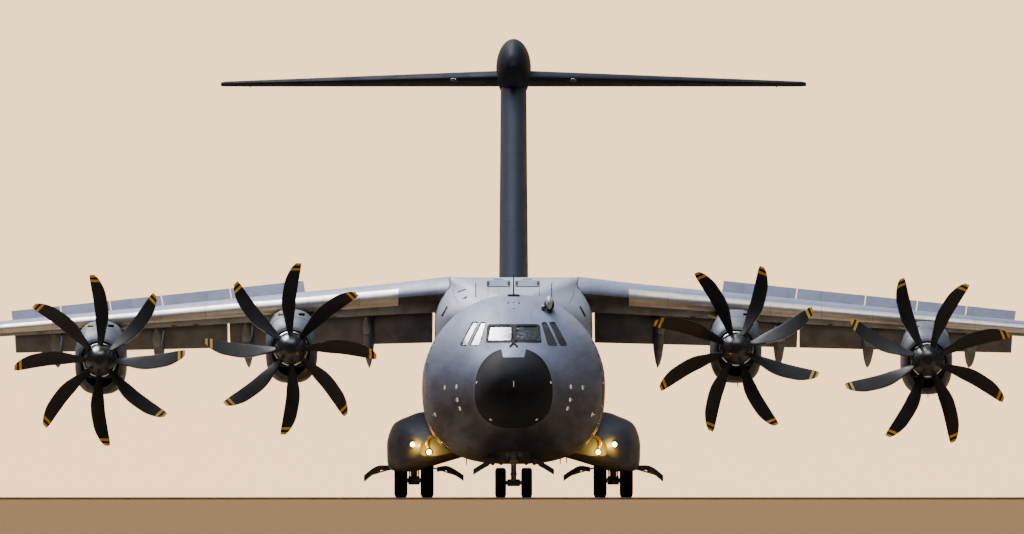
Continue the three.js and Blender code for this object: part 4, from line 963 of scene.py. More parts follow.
def stuffed(name, size, cap, channels):
    """A cushion of a size in millimetres, blown up as cloth, with sewn channels pressed into its top."""
    wide, deep, high = (value * SCALE / 2 for value in size)
    ring = rounded(rectangle(-wide, wide, -deep, deep), 0.35 * high + 0.012, 6)
    levels = ((-0.8, 0.9), (-0.5, 0.99), (0, 1), (0.5, 0.99), (0.8, 0.9))
    plump = loft([[Vector((x * grow, y * grow, high * level)) for x, y in ring] for level, grow in levels])
    pad = Piece(plump).object(name)
    remesh = pad.modifiers.new("even", "REMESH")
    remesh.mode = "VOXEL"
    remesh.voxel_size = 0.005
    bake(pad)
    flat = [vert.co.copy() for vert in pad.data.vertices]
    cloth = pad.modifiers.new("cloth", "CLOTH")
    cloth.settings.use_pressure = True
    cloth.settings.uniform_pressure_force = 4
    cloth.settings.effector_weights.gravity = 0
    cloth.point_cache.frame_end = 20
    for step in range(1, 21):
        bpy.context.scene.frame_set(step)
    bake(pad)
    bpy.context.scene.frame_set(1)
    for vert, start in zip(pad.data.vertices, flat):
        move = vert.co - start
        if move.length > cap:
            vert.co = start + move.normalized() * cap
    fine = pad.modifiers.new("fine", "SUBSURF")
    fine.levels = 1
    bake(pad)
    for vert in pad.data.vertices:
        x, y, z = vert.co
        if z > 0:
            depth = 0
            for along, at in channels:
                gap = (x if along == "x" else y) - at * SCALE
                depth = max(depth, CHANNEL_DEPTH * math.exp(-((gap / CHANNEL_WIDTH) ** 2)))
            vert.co.z -= depth * min(1, z / high * 1.6)
        seam = math.exp(-((abs(z) / high / 0.14) ** 2)) * 0.002
        vert.co.x -= math.copysign(seam, x) if abs(x) > wide * 0.9 else 0
        vert.co.y -= math.copysign(seam, y) if abs(y) > deep * 0.9 else 0
        pull = min(abs(x) / wide, 1) ** 4 * min(abs(y) / deep, 1) ** 4
        vert.co.z *= 1 - 0.35 * pull
    return pad


def make_seats():
    pads = [stuffed(f"{name}_pad", size, cap, channels) for name, size, _, cap, channels, _, _ in CUSHIONS]
    for side, sign in SIDES:
        x = sign * SEAT_X
        seat = Piece(side_prism(SEAT_SHELL, x - 235, x + 235))
        for edge in (-1, 1):
            seat.add(side_prism(SEAT_BRACKET, *sorted((x + edge * 236, x + edge * 254))))
            arm = [place(x + edge * 268, s, z) for s, z in ARM_REST]
            seat.add(tube(arm, 24, 12), 2)
            seat.add(bar(arm[0], place(x + edge * 250, 4870, 4420), 16, sides=12), 1)
            rail = x + edge * 90
            seat.add(box(rail - 14, rail + 14, 4330, 4900, DECK_TOP + 2, DECK_TOP + 34), 1)
            seat.add(bar(place(x + edge * 60, 4890, 4940), place(x + edge * 60, 4915, 5030), 9, sides=10), 1)
            seat.add(tube([place(x + edge * t, s, z) for t, s, z in STRAPS], 11, 6), 3)
        column = (4480, DECK_TOP + 30), (4780, DECK_TOP + 30), (4740, 4150), (4520, 4150)
        seat.add(side_prism(column, x - 105, x + 105), 1)
        seat.add(lathe(((0, 0), (26, 0), (26, 10), (18, 16), (0, 16)), place(x, 4672, 4425), Z - Y, 20), 1)
        body = (deck_look, gear_paint, rubber, webbing)
        node = f"pilot_seat_{side}"
        finish(seat.object(f"{node}_frame"), "airframe", body, [node])
        for pad, (name, _, fill, _, _, at, lean) in zip(pads, CUSHIONS):
            cushion = bpy.data.objects.new(f"pilot_seat_{side}_{name}_cushion", pad.data.copy())
            bpy.context.scene.collection.objects.link(cushion)
            turn = Matrix.Rotation(math.radians(lean), 4, "X")
            cushion.data.transform(Matrix.Translation(place(x, *at)) @ turn)
            finish(cushion, "airframe", (cloth,), angle=60)
    for pad in pads:
        bpy.data.objects.remove(pad)


def make_flight_deck():
    """Displays, glare shield, pedestal, sticks and overhead panel."""
    deck = Piece()
    foot, face, out = Vector((3780, 4330)), Vector((-220, 270)), Vector((0.776, 0.632))

    def on_panel(t, proud):
        return tuple(foot + face * t + out * proud)

    for x in (-700, -430, -145, 145, 430, 700):
        for low, high, start, end, half, mark in ((2, 16, 0.1, 0.93, 128, 0), (14, 19, 0.16, 0.87, 112, 1)):
            outline = [on_panel(*corner) for corner in rectangle(start, end, low, high)]
            deck.add(side_prism(outline, x - half, x + half), mark)
        for k in range(5):
            deck.add(ball(place(x - 90 + 45 * k, *on_panel(0.13, 17)), (9, 9, 9), 8, 6), 2)
    corners = (3330, 4570), (3560, 4612), (3700, 4640), (3705, 4662), (3560, 4680), (3340, 4640)
    hood = rounded(corners, 26, 4)
    deck.add(side_prism(hood, -880, 880), 0)
    console = (3640, DECK_TOP), (4760, DECK_TOP), (4760, 4120), (4300, 4210), (3800, 4260), (3700, 4200)
    deck.add(side_prism(rounded(console, 40, 4), -165, 165))
    for k in range(4):
        x = -84 + 56 * k
        deck.add(bar(place(x, 4120, 4200), place(x, 4040, 4330), 9, 8, 10), 2)
        deck.add(ball(place(x, 4036, 4336), (17, 22, 16), 16, 10), 0)
    for x in (-120, 120):
        deck.add(side_prism(((4380, 4190), (4560, 4160), (4560, 4172), (4380, 4204)), x - 36, x + 36), 1)
    for x in (-960, 960):
        deck.add(bar(place(x, 4250, DECK_TOP), place(x, 4250, 4240), 110, 90, 24), 0)
        deck.add(bar(place(x, 4250, 4235), place(x, 4190, 4400), 16, 14, 12), 0)
        deck.add(ball(place(x, 4186, 4415), (24, 24, 44), 16, 12), 0)
    above = rounded(((3800, 5170), (4550, 5410), (4540, 5450), (3790, 5210)), 12, 3)
    deck.add(side_prism(above, -320, 320), 0)
    for row in range(6):
        for k in range(-3, 4):
            t = (row + 0.5) / 6
            deck.add(ball(place(k * 84, lerp(3810, 4540, t), lerp(5166, 5400, t)), (15, 15, 12), 10, 6), 2)
    finish(deck.object("flight_deck_detail"), "airframe", (panel_look, screen, pale_paint))


TRACK_SECTION = (-60, 0), (60, 0), (60, 32), (44, 32), (44, 10), (-44, 10), (-44, 32), (-60, 32)


def make_hold():
    """Frames, roller tracks and tie-down rings in the hold."""
    ribs = Piece()
    for k in range(17):
        station = 8700 + 1020 * k
        ribs.add(tube([on_side(station, lerp(-128, 128, i / 40), -WALL - 34) for i in range(41)], 38, 6))
    for angle in (-96, -70, -40, 0, 40, 70, 96):
        ribs.add(tube([on_side(8500 + 1000 * i, angle, -WALL - 30) for i in range(18)], 22, 6))
    finish(ribs.object("hold_frames"), "airframe", (primer,))
    tracks = Piece()
    for x in (-1420, -470, 470, 1420):
        section = [(x + dx, 1852 + dz) for dx, dz in TRACK_SECTION]
        tracks.add(front_prism(section, 8400, 25550))
        for k in range(44):
            spot = place(x, 8600 + 390 * k, 1882)
            tracks.add(bar(spot - X * 38 * SCALE, spot + X * 38 * SCALE, 15, sides=10), 1)
    for x in (-1900, -950, 0, 950, 1900):
        for k in range(17):
            ring = [place(x + 36 * math.cos(a), 8900 + 1000 * k + 36 * math.sin(a), 1860) for a in TURNS[::2]]
            tracks.add(tube(ring + ring[:1], 7, 6), 1)
    finish(tracks.object("hold_tracks"), "airframe", (deck_look, steel))


def dense_sides(outline):
    """An outline of stations and angles with enough points to follow the skin."""
    made = []
    for (s0, a0), (s1, a1) in zip(outline, outline[1:] + outline[:1]):
        count = max(1, math.ceil(abs(a1 - a0) / 2))
        made += [(lerp(s0, s1, k / count), lerp(a0, a1, k / count)) for k in range(count)]
    return made


# Door outlines: first and last station, first and last angle; windows and vents: station and angle
SIDE_DOORS = (21500, 22420, 64, 104), (10150, 10800, 68, 92)
SIDE_WINDOWS = (6560, 78), (9000, 79), (12250, 79), (21960, 75), (23500, 78)
BELLY_VENTS = (9800, 176), (11200, 184), (23900, 172), (24400, 188)


def make_side_details():
    """Doors, windows and vents drawn or set into the fuselage sides."""
    seams, panes = Piece(), Piece()
    for sign in (1, -1):
        for door in SIDE_DOORS:
            outline = dense_sides(rounded(rectangle(*door), 6, 4))
            seams.add(loop_tube([on_side(s, sign * a, 2) for s, a in outline], 8))
        for station, angle in SIDE_WINDOWS:
            foot, out = foot_on(on_side, station, sign * angle)
            seams.add(lathe(((0, 0), (172, 0), (176, 8), (150, 15), (136, 8), (0, 7)), foot, out, 48), 1)
            panes.add(lathe(((0, 6), (134, 6), (120, 12), (60, 17), (0, 18)), foot, out, 48))
    for vent in BELLY_VENTS:
        seams.add(lathe(((0, 0), (60, 0), (52, 40), (30, 60), (0, 62)), *foot_on(on_side, *vent), 24))
    finish(seams.object("side_seams"), "airframe", (matt_black, steel))
    finish(panes.object("side_windows"), "airframe", (eye_glass,))


def make_centre_and_tail():
    centre = shell("centre_skin", JOINTS["forward"], JOINTS["centre"], WALL)
    finish_shell(centre, "fuselage_centre")

    start, end, half = RAMP
    ramp_hole = box(-half, half, start, end, 500, 3400)
    ramp_space = box(-half + CLEAR, half - CLEAR, start + CLEAR, end - CLEAR, 500, 3400)
    first, last, front, rear = CARGO_DOOR

    def door_outline(clear):
        return [
            (-front + clear, first + clear), (front - clear, first + clear),
            (rear - clear, last - clear), (-rear + clear, last - clear),
        ]

    aft = shell("aft_skin", JOINTS["centre"], JOINTS["aft"], AFT_WALL)
    carve(aft, *less(ramp_hole, plan_prism(door_outline(0), 500, 5050)))
    finish_shell(aft, "fuselage_aft", AFT_WALL)

    door = shell("cargo_door_skin", JOINTS["centre"], JOINTS["aft"], AFT_WALL)
    carve(door, ("INTERSECT", plan_prism(door_outline(CLEAR), 500, 5050)))
    finish_shell(door, "cargo_door", AFT_WALL, inner=primer, body="cargo_door")

    slab = side_prism(((start, 700), (end, 1700), (end, 2870), (start, 1850)), -2500, 2500)
    ramp = Piece(hull(JOINTS["centre"], JOINTS["aft"])).object("ramp_body")
    carve(ramp, ("INTERSECT", ramp_space), ("INTERSECT", slab))

    def top_mark(centre, normal, old):
        return 1 if normal.z > 0.9 else 2 if abs(normal.x) > 0.98 or abs(normal.y) > 0.9 else 0

    finish(ramp, "cargo_ramp", (hull_paint, deck_look, primer), ["cargo_ramp"], mark=top_mark)

    end = HULL[-1][0]
    cone = Piece(hull(JOINTS["aft"] + SEAM / 2, end)).object("tailcone_skin")
    carve(cone, *less(hull(JOINTS["aft"] - 60, end - 900, AFT_WALL)))
    finish_shell(cone, "tailcone", AFT_WALL)


# Wing
def wing_at(key, span):
    root, tip = WING[key]
    return lerp(root, tip, span / SEMISPAN)


def wing_point(sign, span, u, h):
    z = wing_at("height", span) - u * wing_at("fall", span) + h * wing_at("half", span)
    return place(sign * span, wing_at("edge", span) + u * wing_at("chord", span), z)


def half_thickness(u):
    return 10 * (0.2969 * math.sqrt(u) - 0.126 * u - 0.3516 * u**2 + 0.2843 * u**3 - 0.1015 * u**4) + 0.01


def underside(u):
    return -half_thickness(u)


def camber(u):
    return CAMBER * 4 * u * (1 - u)


def upper(u):
    return camber(u) + half_thickness(u)


def lower(u):
    return camber(u) - 0.9 * half_thickness(u)


CHORD_STEPS = (
    0, 0.002, 0.006, 0.013, 0.024, 0.04, 0.065, 0.1, 0.15, 0.21,
    0.28, 0.36, 0.44, 0.52, 0.6, 0.68, 0.76, 0.84, 0.92, 1,
)


def aerofoil(top, bottom, steps=CHORD_STEPS):
    return [(u, top(u)) for u in reversed(steps)] + [(u, bottom(u)) for u in steps[1:]]


def swollen_point(sign, span, u, h):
    """A point of the wing with its swelling at the root."""
    near = min(max((ROOT_TO - span) / (ROOT_TO - ROOT_FROM), 0), 1) ** 2
    point = wing_point(sign, span, u, h * (1 + ROOT_SWELL * near))
    return point - Y * ROOT_AHEAD * near * (1 - u) ** 2 * SCALE


def wing_solid(sign, thicker=1, longer=0):
    """The whole wing of one side, to a rounded tip."""

    def ring(span, size=1, shift=0):
        points = []
        for u, h in aerofoil(upper, lower):
            point = swollen_point(sign, span, shift + (u - shift) * size, h * size * thicker)
            points.append(point - Y * longer * (1 - 2 * u) * SCALE)
        return points

    spans = [WING_START] + [lerp(ROOT_FROM, ROOT_TO, k / 12) for k in range(12)]
    spans += [lerp(ROOT_TO, CAP_SPAN, k / 36) for k in range(37)]
    rings = [ring(span) for span in spans]
    for t in (0.25, 0.5, 0.7, 0.85, 0.95, 1):
        reach = 1 - math.sqrt(max(1 - t * t, 0))
        rings.append(ring(lerp(CAP_SPAN, SEMISPAN, t), 1 - 0.4 * reach, 0.9))
    return loft(rings)


def span_prism(sign, start, end, outline, steps=1):
    spans = [lerp(start, end, k / steps) for k in range(steps + 1)]
    return loft([[wing_point(sign, span, u, h) for u, h in outline] for span in spans])


def rear_of(u):
    return rectangle(u, 1.3, -3, 3)


def curve(function, start, end, steps):
    places = [lerp(start, end, k / steps) for k in range(steps + 1)]
    return [(u, function(u)) for u in places]


def shroud_pocket(sign, start, end):
    def under(u):
        return upper(u) - SHROUD_DEPTH

    outline = [(REAR_SPAR, -3), (1.2, -3), (1.2, 3), (SHROUD_END, 3)] + curve(under, SHROUD_END, REAR_SPAR, 6)
    return span_prism(sign, start, end, outline)


def flap_outline():
    def under(u):
        return upper(u) - SHROUD_DEPTH - 0.1

    top = curve(upper, 1, SHROUD_END + 0.025, 6)
    shelf = curve(under, SHROUD_END + 0.012, 0.755, 4)
    middle = (under(0.73) + lower(0.74)) / 2
    reach = (under(0.75) - lower(0.75)) / 2
    nose = []
    for degrees in range(100, 261, 20):
        angle = math.radians(degrees)
        nose.append((0.752 + 0.037 * math.cos(angle), middle + reach * 0.97 * math.sin(angle)))
    bottom = curve(lower, 0.775, 1, 8)
    return top + shelf + nose + bottom


def flap_axis(sign, start, end):
    points = []
    for span in (start, end):
        point = wing_point(sign, span, FLAP_HINGE, lower(FLAP_HINGE))
        points.append(point - Z * FLAP_DROP * SCALE)
    return points[0], points[1] - points[0]


ARM_HALF, ARM_DEPTH = 175, 620
# Flap arm fairings: place on the chord, shares of the half width and depth, lift of the upper edge
ARM_FIXED = (
    (0.4, 0.15, 0.06, 60), (0.5, 0.75, 0.42, 60), (0.6, 1, 0.72, 60), (0.65, 1, 0.86, 60),
    (FLAP_HINGE, 1, 1, -40),
)
ARM_MOVING = (
    (FLAP_HINGE, 1, 1, 10), (0.85, 1, 0.93, 10), (1, 0.86, 0.68, 10), (1.11, 0.52, 0.4, 10),
    (1.19, 0.08, 0.1, 10),
)


def arm_fairing(sign, span, rows, back):
    """The fairing of a flap arm: a deep rounded canoe under the wing."""
    rings = []
    for step in range(15):
        u = lerp(rows[0][0], rows[-1][0], step / 14)
        width, depth, lift = read_row(rows, u)
        point = wing_point(sign, span, u, lower(min(u, 0.98)))
        if step == (14 if back < 0 else 0):
            point += Y * back * SCALE
        ring = []
        for k in range(29):
            angle = math.pi * k / 28
            side = -signed_power(math.cos(angle), 0.6)
            drop = lerp(lift, -ARM_DEPTH * depth, math.sin(angle) ** 0.75)
            ring.append(point + Vector((side * ARM_HALF * width, 0, drop)) * SCALE)
        rings.append(ring)
    return loft(rings)


def surface_mark(centre, normal, old):
    """The number of the darker underside paint, a painted shade, for faces that look down."""
    return old or (1 if normal.z < 0.05 else 0)


def make_flaps(side, sign):
    """Flaps with the moving halves of their arms, turned down as in the photo."""
    for name, start, end, arms, _ in FLAPS:
        point, axis = flap_axis(sign, start, end)
        made = Piece(span_prism(sign, start, end, flap_outline(), 12))
        for span in arms:
            made.add(arm_fairing(sign, span, ARM_MOVING, CLEAR), 2)
        lowered = turned((made.verts, made.faces), point, axis, -sign * FLAP_DOWN)
        node = f"flap_{name}_{side}"
        flap = Piece(lowered).object(f"{node}_skin")
        finish(flap, node, (wing_paint, wing_shaded_under, arm_paint), [node], mark=surface_mark)


def spoiler_axis(sign):
    ends = []
    for span in (SPOILER_SPANS[0], SPOILER_SPANS[-1]):
        ends.append(wing_point(sign, span, SPOILER_HINGE, upper(SPOILER_HINGE) - 0.05))
    return ends[0], ends[1] - ends[0]


def make_spoilers(side, sign):
    front = SPOILER_HINGE + 0.004
    top = curve(lambda u: upper(u) - 0.01, front, SHROUD_END - 0.01, 6)
    bottom = [(SHROUD_END - 0.01, upper(SHROUD_END) - 0.03), (front, upper(front) - 0.1)]
    made = Piece()
    for start, end in zip(SPOILER_SPANS, SPOILER_SPANS[1:]):
        made.add(span_prism(sign, start + 15, end - 15, top + bottom, 4))
        for t in (0.15, 0.4, 0.62, 0.87):
            span = lerp(start, end, t)
            corners = (front, 0.1), (0.79, 0.05), (front + 0.03, 0.22)
            outline = [(u, upper(u) - depth) for u, depth in corners]
            made.add(span_prism(sign, span - 12, span + 12, outline), 1)
    point, axis = spoiler_axis(sign)
    shy = axis.normalized() * 20 * SCALE
    made.add(bar(point + shy, point + axis - shy, 28, sides=20), 1)
    made.verts = turned((made.verts, made.faces), point, axis, sign * SPOILER_UP)[0]
    node = f"spoilers_{side}"
    finish(made.object(f"{node}_skin"), node, (wing_paint, primer), [node])


def control_outline(hinge, nose, top, bottom):
    middle, reach = (top(hinge) + bottom(hinge)) / 2, (top(hinge) - bottom(hinge)) / 2
    outline = curve(top, 1, hinge + nose, 6)
    for degrees in range(90, 271, 15):
        angle = math.radians(degrees)
        outline.append((hinge + nose * math.cos(angle), middle + reach * 0.97 * math.sin(angle)))
    return outline + curve(bottom, hinge + nose, 1, 6)


def make_aileron(side, sign):
    made = Piece(span_prism(sign, *AILERON, control_outline(0.76, 0.026, upper, lower), 8))
    node = f"aileron_{side}"
    looks = (wing_paint, wing_shaded_under)
    finish(made.object(f"{node}_skin"), node, looks, [node], mark=surface_mark)


# Fairing over the wing box: station, half width, half width of the flat top, top
FAIRING = (
    (10900, 1500, 300, 6230),
    (11900, 2150, 900, 6450),
    (13200, 2400, 1500, 6695),
    (14600, 2450, 1850, 6832),
    (16000, 2450, 2300, 6862),
    (19500, 2450, 2300, 6862),
    (22500, 2400, 1600, 6660),
    (25200, 1900, 500, 6260),
)
# Corner of the fairing: share of the way in from the side to the shoulder, share of the height
FAIRING_CORNER = ((0, 0), (0.08, 0.3), (0.3, 0.58), (0.62, 0.82), (0.9, 0.985))
FAIRING_FOOT, FAIRING_SIDE, FAIRING_HALF = 4900, 5450, 2400


def fairing_section(station, grow=0):
    """One side of the fairing's section, from its foot to the flat top."""
    half, shoulder, top = (value + grow for value in read_row(FAIRING, station))
    corner = [(lerp(half, shoulder, across), lerp(FAIRING_SIDE, top, up)) for across, up in FAIRING_CORNER]
    return smooth_outline([(half, FAIRING_FOOT)] + corner + [(shoulder * 0.6, top)], 4)


def fairing_height(x, station):
    """Height of the fairing over (x, station), 0 beside it."""
    section = fairing_section(station)
    for (x0, z0), (x1, z1) in zip(section, section[1:]):
        if x1 <= abs(x) <= x0 and x0 > x1:
            return lerp(z0, z1, (x0 - abs(x)) / (x0 - x1))
    return section[-1][1] if abs(x) < section[-1][0] else 0


def on_slope(x, z, proud=0):
    """The placed point of the fairing's front slope behind (x, z), moved outwards by a few millimetres."""
    low, high = FAIRING[0][0], FAIRING[4][0]
    for _ in range(24):
        middle = (low + high) / 2
        if fairing_height(x, middle) < z:
            low = middle
        else:
            high = middle
    gap = 15
    here = fairing_height(x, high + gap)
    across = fairing_height(x + gap, high + gap) - here
    ahead = fairing_height(x, high + 2 * gap) - here
    if abs(across) > 20 * gap or abs(ahead) > 20 * gap:
        return place(x, high, z) - Y * proud * SCALE
    return place(x, high, z) + Vector((-across, -ahead, gap)).normalized() * proud * SCALE


def make_fairing_details():
    """Hatches, slots, vents and seams on the fairing's front slope."""
    marks = Piece()
    hatches = Piece()
    for x0, x1 in ((-825, -112), (61, 800)):
        outline = rounded(rectangle(x0, x1, 6533, 6716), 30, 4)
        hatches.add(nose_patch(outline, -8, 14, on_slope))
        marks.add(loop_tube([on_slope(x, z, 14) for x, z in outline], 8))
        for x in (x0 + 40, x1 - 40):
            latch = rounded(rectangle(x - 38, x + 38, 6560, 6690), 14, 3)
            hatches.add(nose_patch(latch, 10, 22, on_slope), 1)
        middle = (x0 + x1) / 2
        marks.add(tube([on_slope(middle + dx, 6778, 6) for dx in (-150, -50, 50, 150)], 17, 6))
    for x in (-1173, 1173):
        marks.add(tube([on_slope(x, lerp(6215, 6640, k / 8), 3) for k in range(9)], 15, 6))
    for x in (-790, 800):
        marks.add(tube([on_slope(x, lerp(6240, 6520, k / 5), 2) for k in range(6)], 6, 6))
    for sign in (1, -1):
        slit = ((sign * 2245, 5625), (sign * 2070, 5945), (sign * 2035, 5915), (sign * 2190, 5615))
        marks.add(nose_patch(slit, -4, 8, on_slope))
        corners = (1871, 6472), (1862, 6350), (1846, 6235), (1720, 6050), (1588, 5860)
        seam = [(sign * x, z) for x, z in corners]
        marks.add(tube([on_slope(x, z, 1) for x, z in seam], 7, 6))
    marks.add(nose_patch(((-1596, 6166), (-1429, 6246), (-1470, 6170)), -4, 12, on_slope))
    stroke = [on_slope(lerp(-1732, -1485, k / 4), lerp(6370, 6463, k / 4), 4) for k in range(5)]
    marks.add(tube(stroke, 16, 6))
    finish(hatches.object("fairing_hatches"), "airframe", (hull_paint, matt_black))
    finish(marks.object("fairing_seams"), "airframe", (matt_black,))


def fairing_width(station, z):
    """Distance of the fairing's side from the middle at a height, 0 over it."""
    section = fairing_section(station)
    for (x0, z0), (x1, z1) in zip(section, section[1:]):
        if z0 <= z <= z1 and z1 > z0:
            return lerp(x0, x1, (z - z0) / (z1 - z0))
    return 0 if z > section[-1][1] else FAIRING_HALF


def make_root_seam(side, sign):
    """The seal along the joint of the wing and the fairing."""
    points = []
    steps = [k / 40 for k in range(30, 0, -1)]
    outline = [(u, upper(u)) for u in steps] + [(0.012, upper(0.012)), (0, 0), (0.012, lower(0.012))]
    outline += [(u, lower(u)) for u in reversed(steps)]
    for u, h in outline:
        span = FAIRING_HALF
        for _ in range(8):
            _, station, z = unplace(swollen_point(sign, span, u, h))
            span = fairing_width(station, z)
            if not span:
                break
        if span:
            points.append(swollen_point(sign, span + 6, u, h))
    seal = tube(points, 19, 8)
    finish(Piece(seal).object(f"wing_root_seal_{side}"), "airframe", (rubber,))


def fairing_solid(grow=0):
    rings = []
    for step in range(91):
        station = lerp(FAIRING[0][0], FAIRING[-1][0], step / 90)
        side = fairing_section(station, grow)
        outline = side + [(-x, z) for x, z in reversed(side)]
        rings.append([place(x, station, z) for x, z in outline])
    return loft(rings)


def make_fairing():
    fairing = Piece(fairing_solid()).object("wing_fairing_skin")
    carve(fairing, *less(hull(9000, 27000, -SEAM)))
    finish(fairing, "airframe", (fairing_paint,), ["wing_fairing"])


def wick(root, length):
    """A thin rod behind an edge that sheds static charge."""
    return bar(root, root + Y * length * SCALE, 7, 4, 8)


def make_wing(side, sign):
    wing = Piece(wing_solid(sign)).object(f"wing_{side}_skin")
    pockets = [shroud_pocket(sign, start - margin, end + 25) for _, start, end, _, margin in FLAPS]
    pockets += [
        span_prism(sign, FLAPS[0][2], FLAPS[1][1], rear_of(REAR_SPAR)),
        span_prism(sign, SPOILER_SPANS[0] - 20, SPOILER_SPANS[-1] + 20, rear_of(REAR_SPAR)),
        span_prism(sign, AILERON[0] - 25, AILERON[1] + 25, rear_of(0.726)),
    ]
    carve(wing, *less(*pockets, fairing_solid(SEAM)))

    def mark(centre, normal, old):
        x, station, _ = unplace(centre)
        span = abs(x)
        u = (station - wing_at("edge", span)) / wing_at("chord", span)
        if u < 0.04 and 3600 < span < 20900:
            return 2
        # Faces that look down take the darker underside paint, a painted shade.
        return 1 if normal.z < 0.05 else 0

    looks = (wing_paint, wing_shaded_under, edge_metal)
    finish(wing, "airframe", looks, [f"wing_{side}"], mark=mark)
    arms = Piece()
    for _, _, _, spans, _ in FLAPS:
        for span in spans:
            arms.add(arm_fairing(sign, span, ARM_FIXED, -CLEAR))
    finish(arms.object(f"flap_arm_fairings_{side}"), "airframe", (arm_paint,))
    make_root_seam(side, sign)
    make_flaps(side, sign)
    make_spoilers(side, sign)
    make_aileron(side, sign)

    # Vents under the wing, tip light and wicks
    small = Piece()
    for span, u in ((10600, 0.2), (9900, 0.2), (5600, 0.24)):
        vent = wing_point(sign, span, u, lower(u))
        small.add(ball(vent, (110, 190, 34), 24, 14), 1)
        small.add(ball(vent - Y * 0.02 - Z * 0.004, (74, 120, 28), 24, 14))
    tip = wing_point(sign, 21120, 0.3, camber(0.3) * 0.5)
    small.add(ball(tip, (70, 210, 44), 24, 14), 2)
    for k in range(5):
        root = wing_point(sign, 20680 + 90 * k, 0.985, upper(0.99) * 0.6)
        small.add(wick(root, 150))
    lens_look = red_lens if sign > 0 else green_lens
    looks = (matt_black, wing_shaded_under, lens_look)
    finish(small.object(f"wing_fittings_{side}"), "airframe", looks)


# Engines
def oval(sides, x, station, z, half, up, down, square):
    """A ring round (x, z) of one half width, with its own reach up and down."""
    ring = []
    for i in range(sides):
        angle = math.tau * i / sides
        c, s = math.cos(angle), math.sin(angle)
        height = up if c >= 0 else down
        across = signed_power(s, 2 / square) * half
        ring.append(place(x + across, station, z + height * signed_power(c, 2 / square)))
    return ring


def nacelle_solid(engine):
    _, x, z, station, stretch, _, _ = engine
    first, last = NACELLE[0][0], NACELLE[-1][0]
    backs = [first, first + 8, first + 22, first + 45] + [lerp(first + 80, last, k / 44) for k in range(45)]
    return loft([oval(96, x, station + back * stretch, z, *read_row(NACELLE, back)) for back in backs])


# Chin intake: half width, height of its lower and upper edge under the hub, rise of each towards the sides
INTAKE_HALF, INTAKE_LOW, INTAKE_HIGH = 430, -850, -560
INTAKE_RISE = 246.5, 72.5


def intake_outline(x, z, grow=0):
    bend = [lerp(-1, 1, k / 14) for k in range(15)]
    half = INTAKE_HALF + grow
    bottom = [(x + half * t, z + INTAKE_LOW - grow + INTAKE_RISE[0] * t**2) for t in bend]
    top = [(x + half * t, z + INTAKE_HIGH + grow + INTAKE_RISE[1] * t**2) for t in reversed(bend)]
    return rounded(bottom + top, 60, 3)


# Spinner: radius, distance behind the blades' plane
SPINNER = (
    (0, -620), (70, -618), (140, -600), (200, -570), (255, -520), (300, -460), (340, -390), (385, -300),
    (430, -190), (455, -95), (468, 0), (470, 60), (470, 110), (462, 120), (0, 120),
)


def blade_solid(hand):
    """A blade's vertices and faces, and the number of points in its section."""
    shape = []
    for k in range(13):
        t = k / 12
        c = -0.5 + 0.5 * (1 - math.cos(math.pi * t))
        shape.append((c, 0.55 * math.sqrt(max(t, 0)) * (1 - t) * 1.9))
    shape += [(c, -0.45 * h) for c, h in reversed(shape[1:-1])]
    rings = []
    for step in range(31):
        radius = lerp(BLADE[0][0], BLADE[-1][0], step / 30)
        chord, thick, pitch, sweep = read_row(BLADE, radius)
        flat, steep = math.cos(math.radians(pitch)), math.sin(math.radians(pitch))
        ring = []
        for c, h in shape:
            across = hand * (sweep + c * chord * flat + h * thick * steep)
            ring.append(Vector((across, c * chord * steep - h * thick * flat, radius)) * SCALE)
        rings.append(ring)
    verts, faces = loft(rings)
    return verts, faces, len(shape)


COWL_SLOT = {"x": 320, "half": 95, "z": (1042, 1108), "back": (1250, 2450)}
# The wing's share of thickness and added length in the cut that seats a nacelle on it
WING_SEAT = (1.016, 3)
INTAKE_BACK = 900


def on_cowl(engine, dx, back, proud=0):
    """The placed point on top of a cowl, dx beside the hub's axis."""
    _, x, z, station, stretch, _, _ = engine
    half, up, _, square = read_row(NACELLE, back)
    height = up * max(1 - abs(dx / half) ** square, 0) ** (1 / square)
    return place(x + dx, station + back * stretch, z + height + proud)


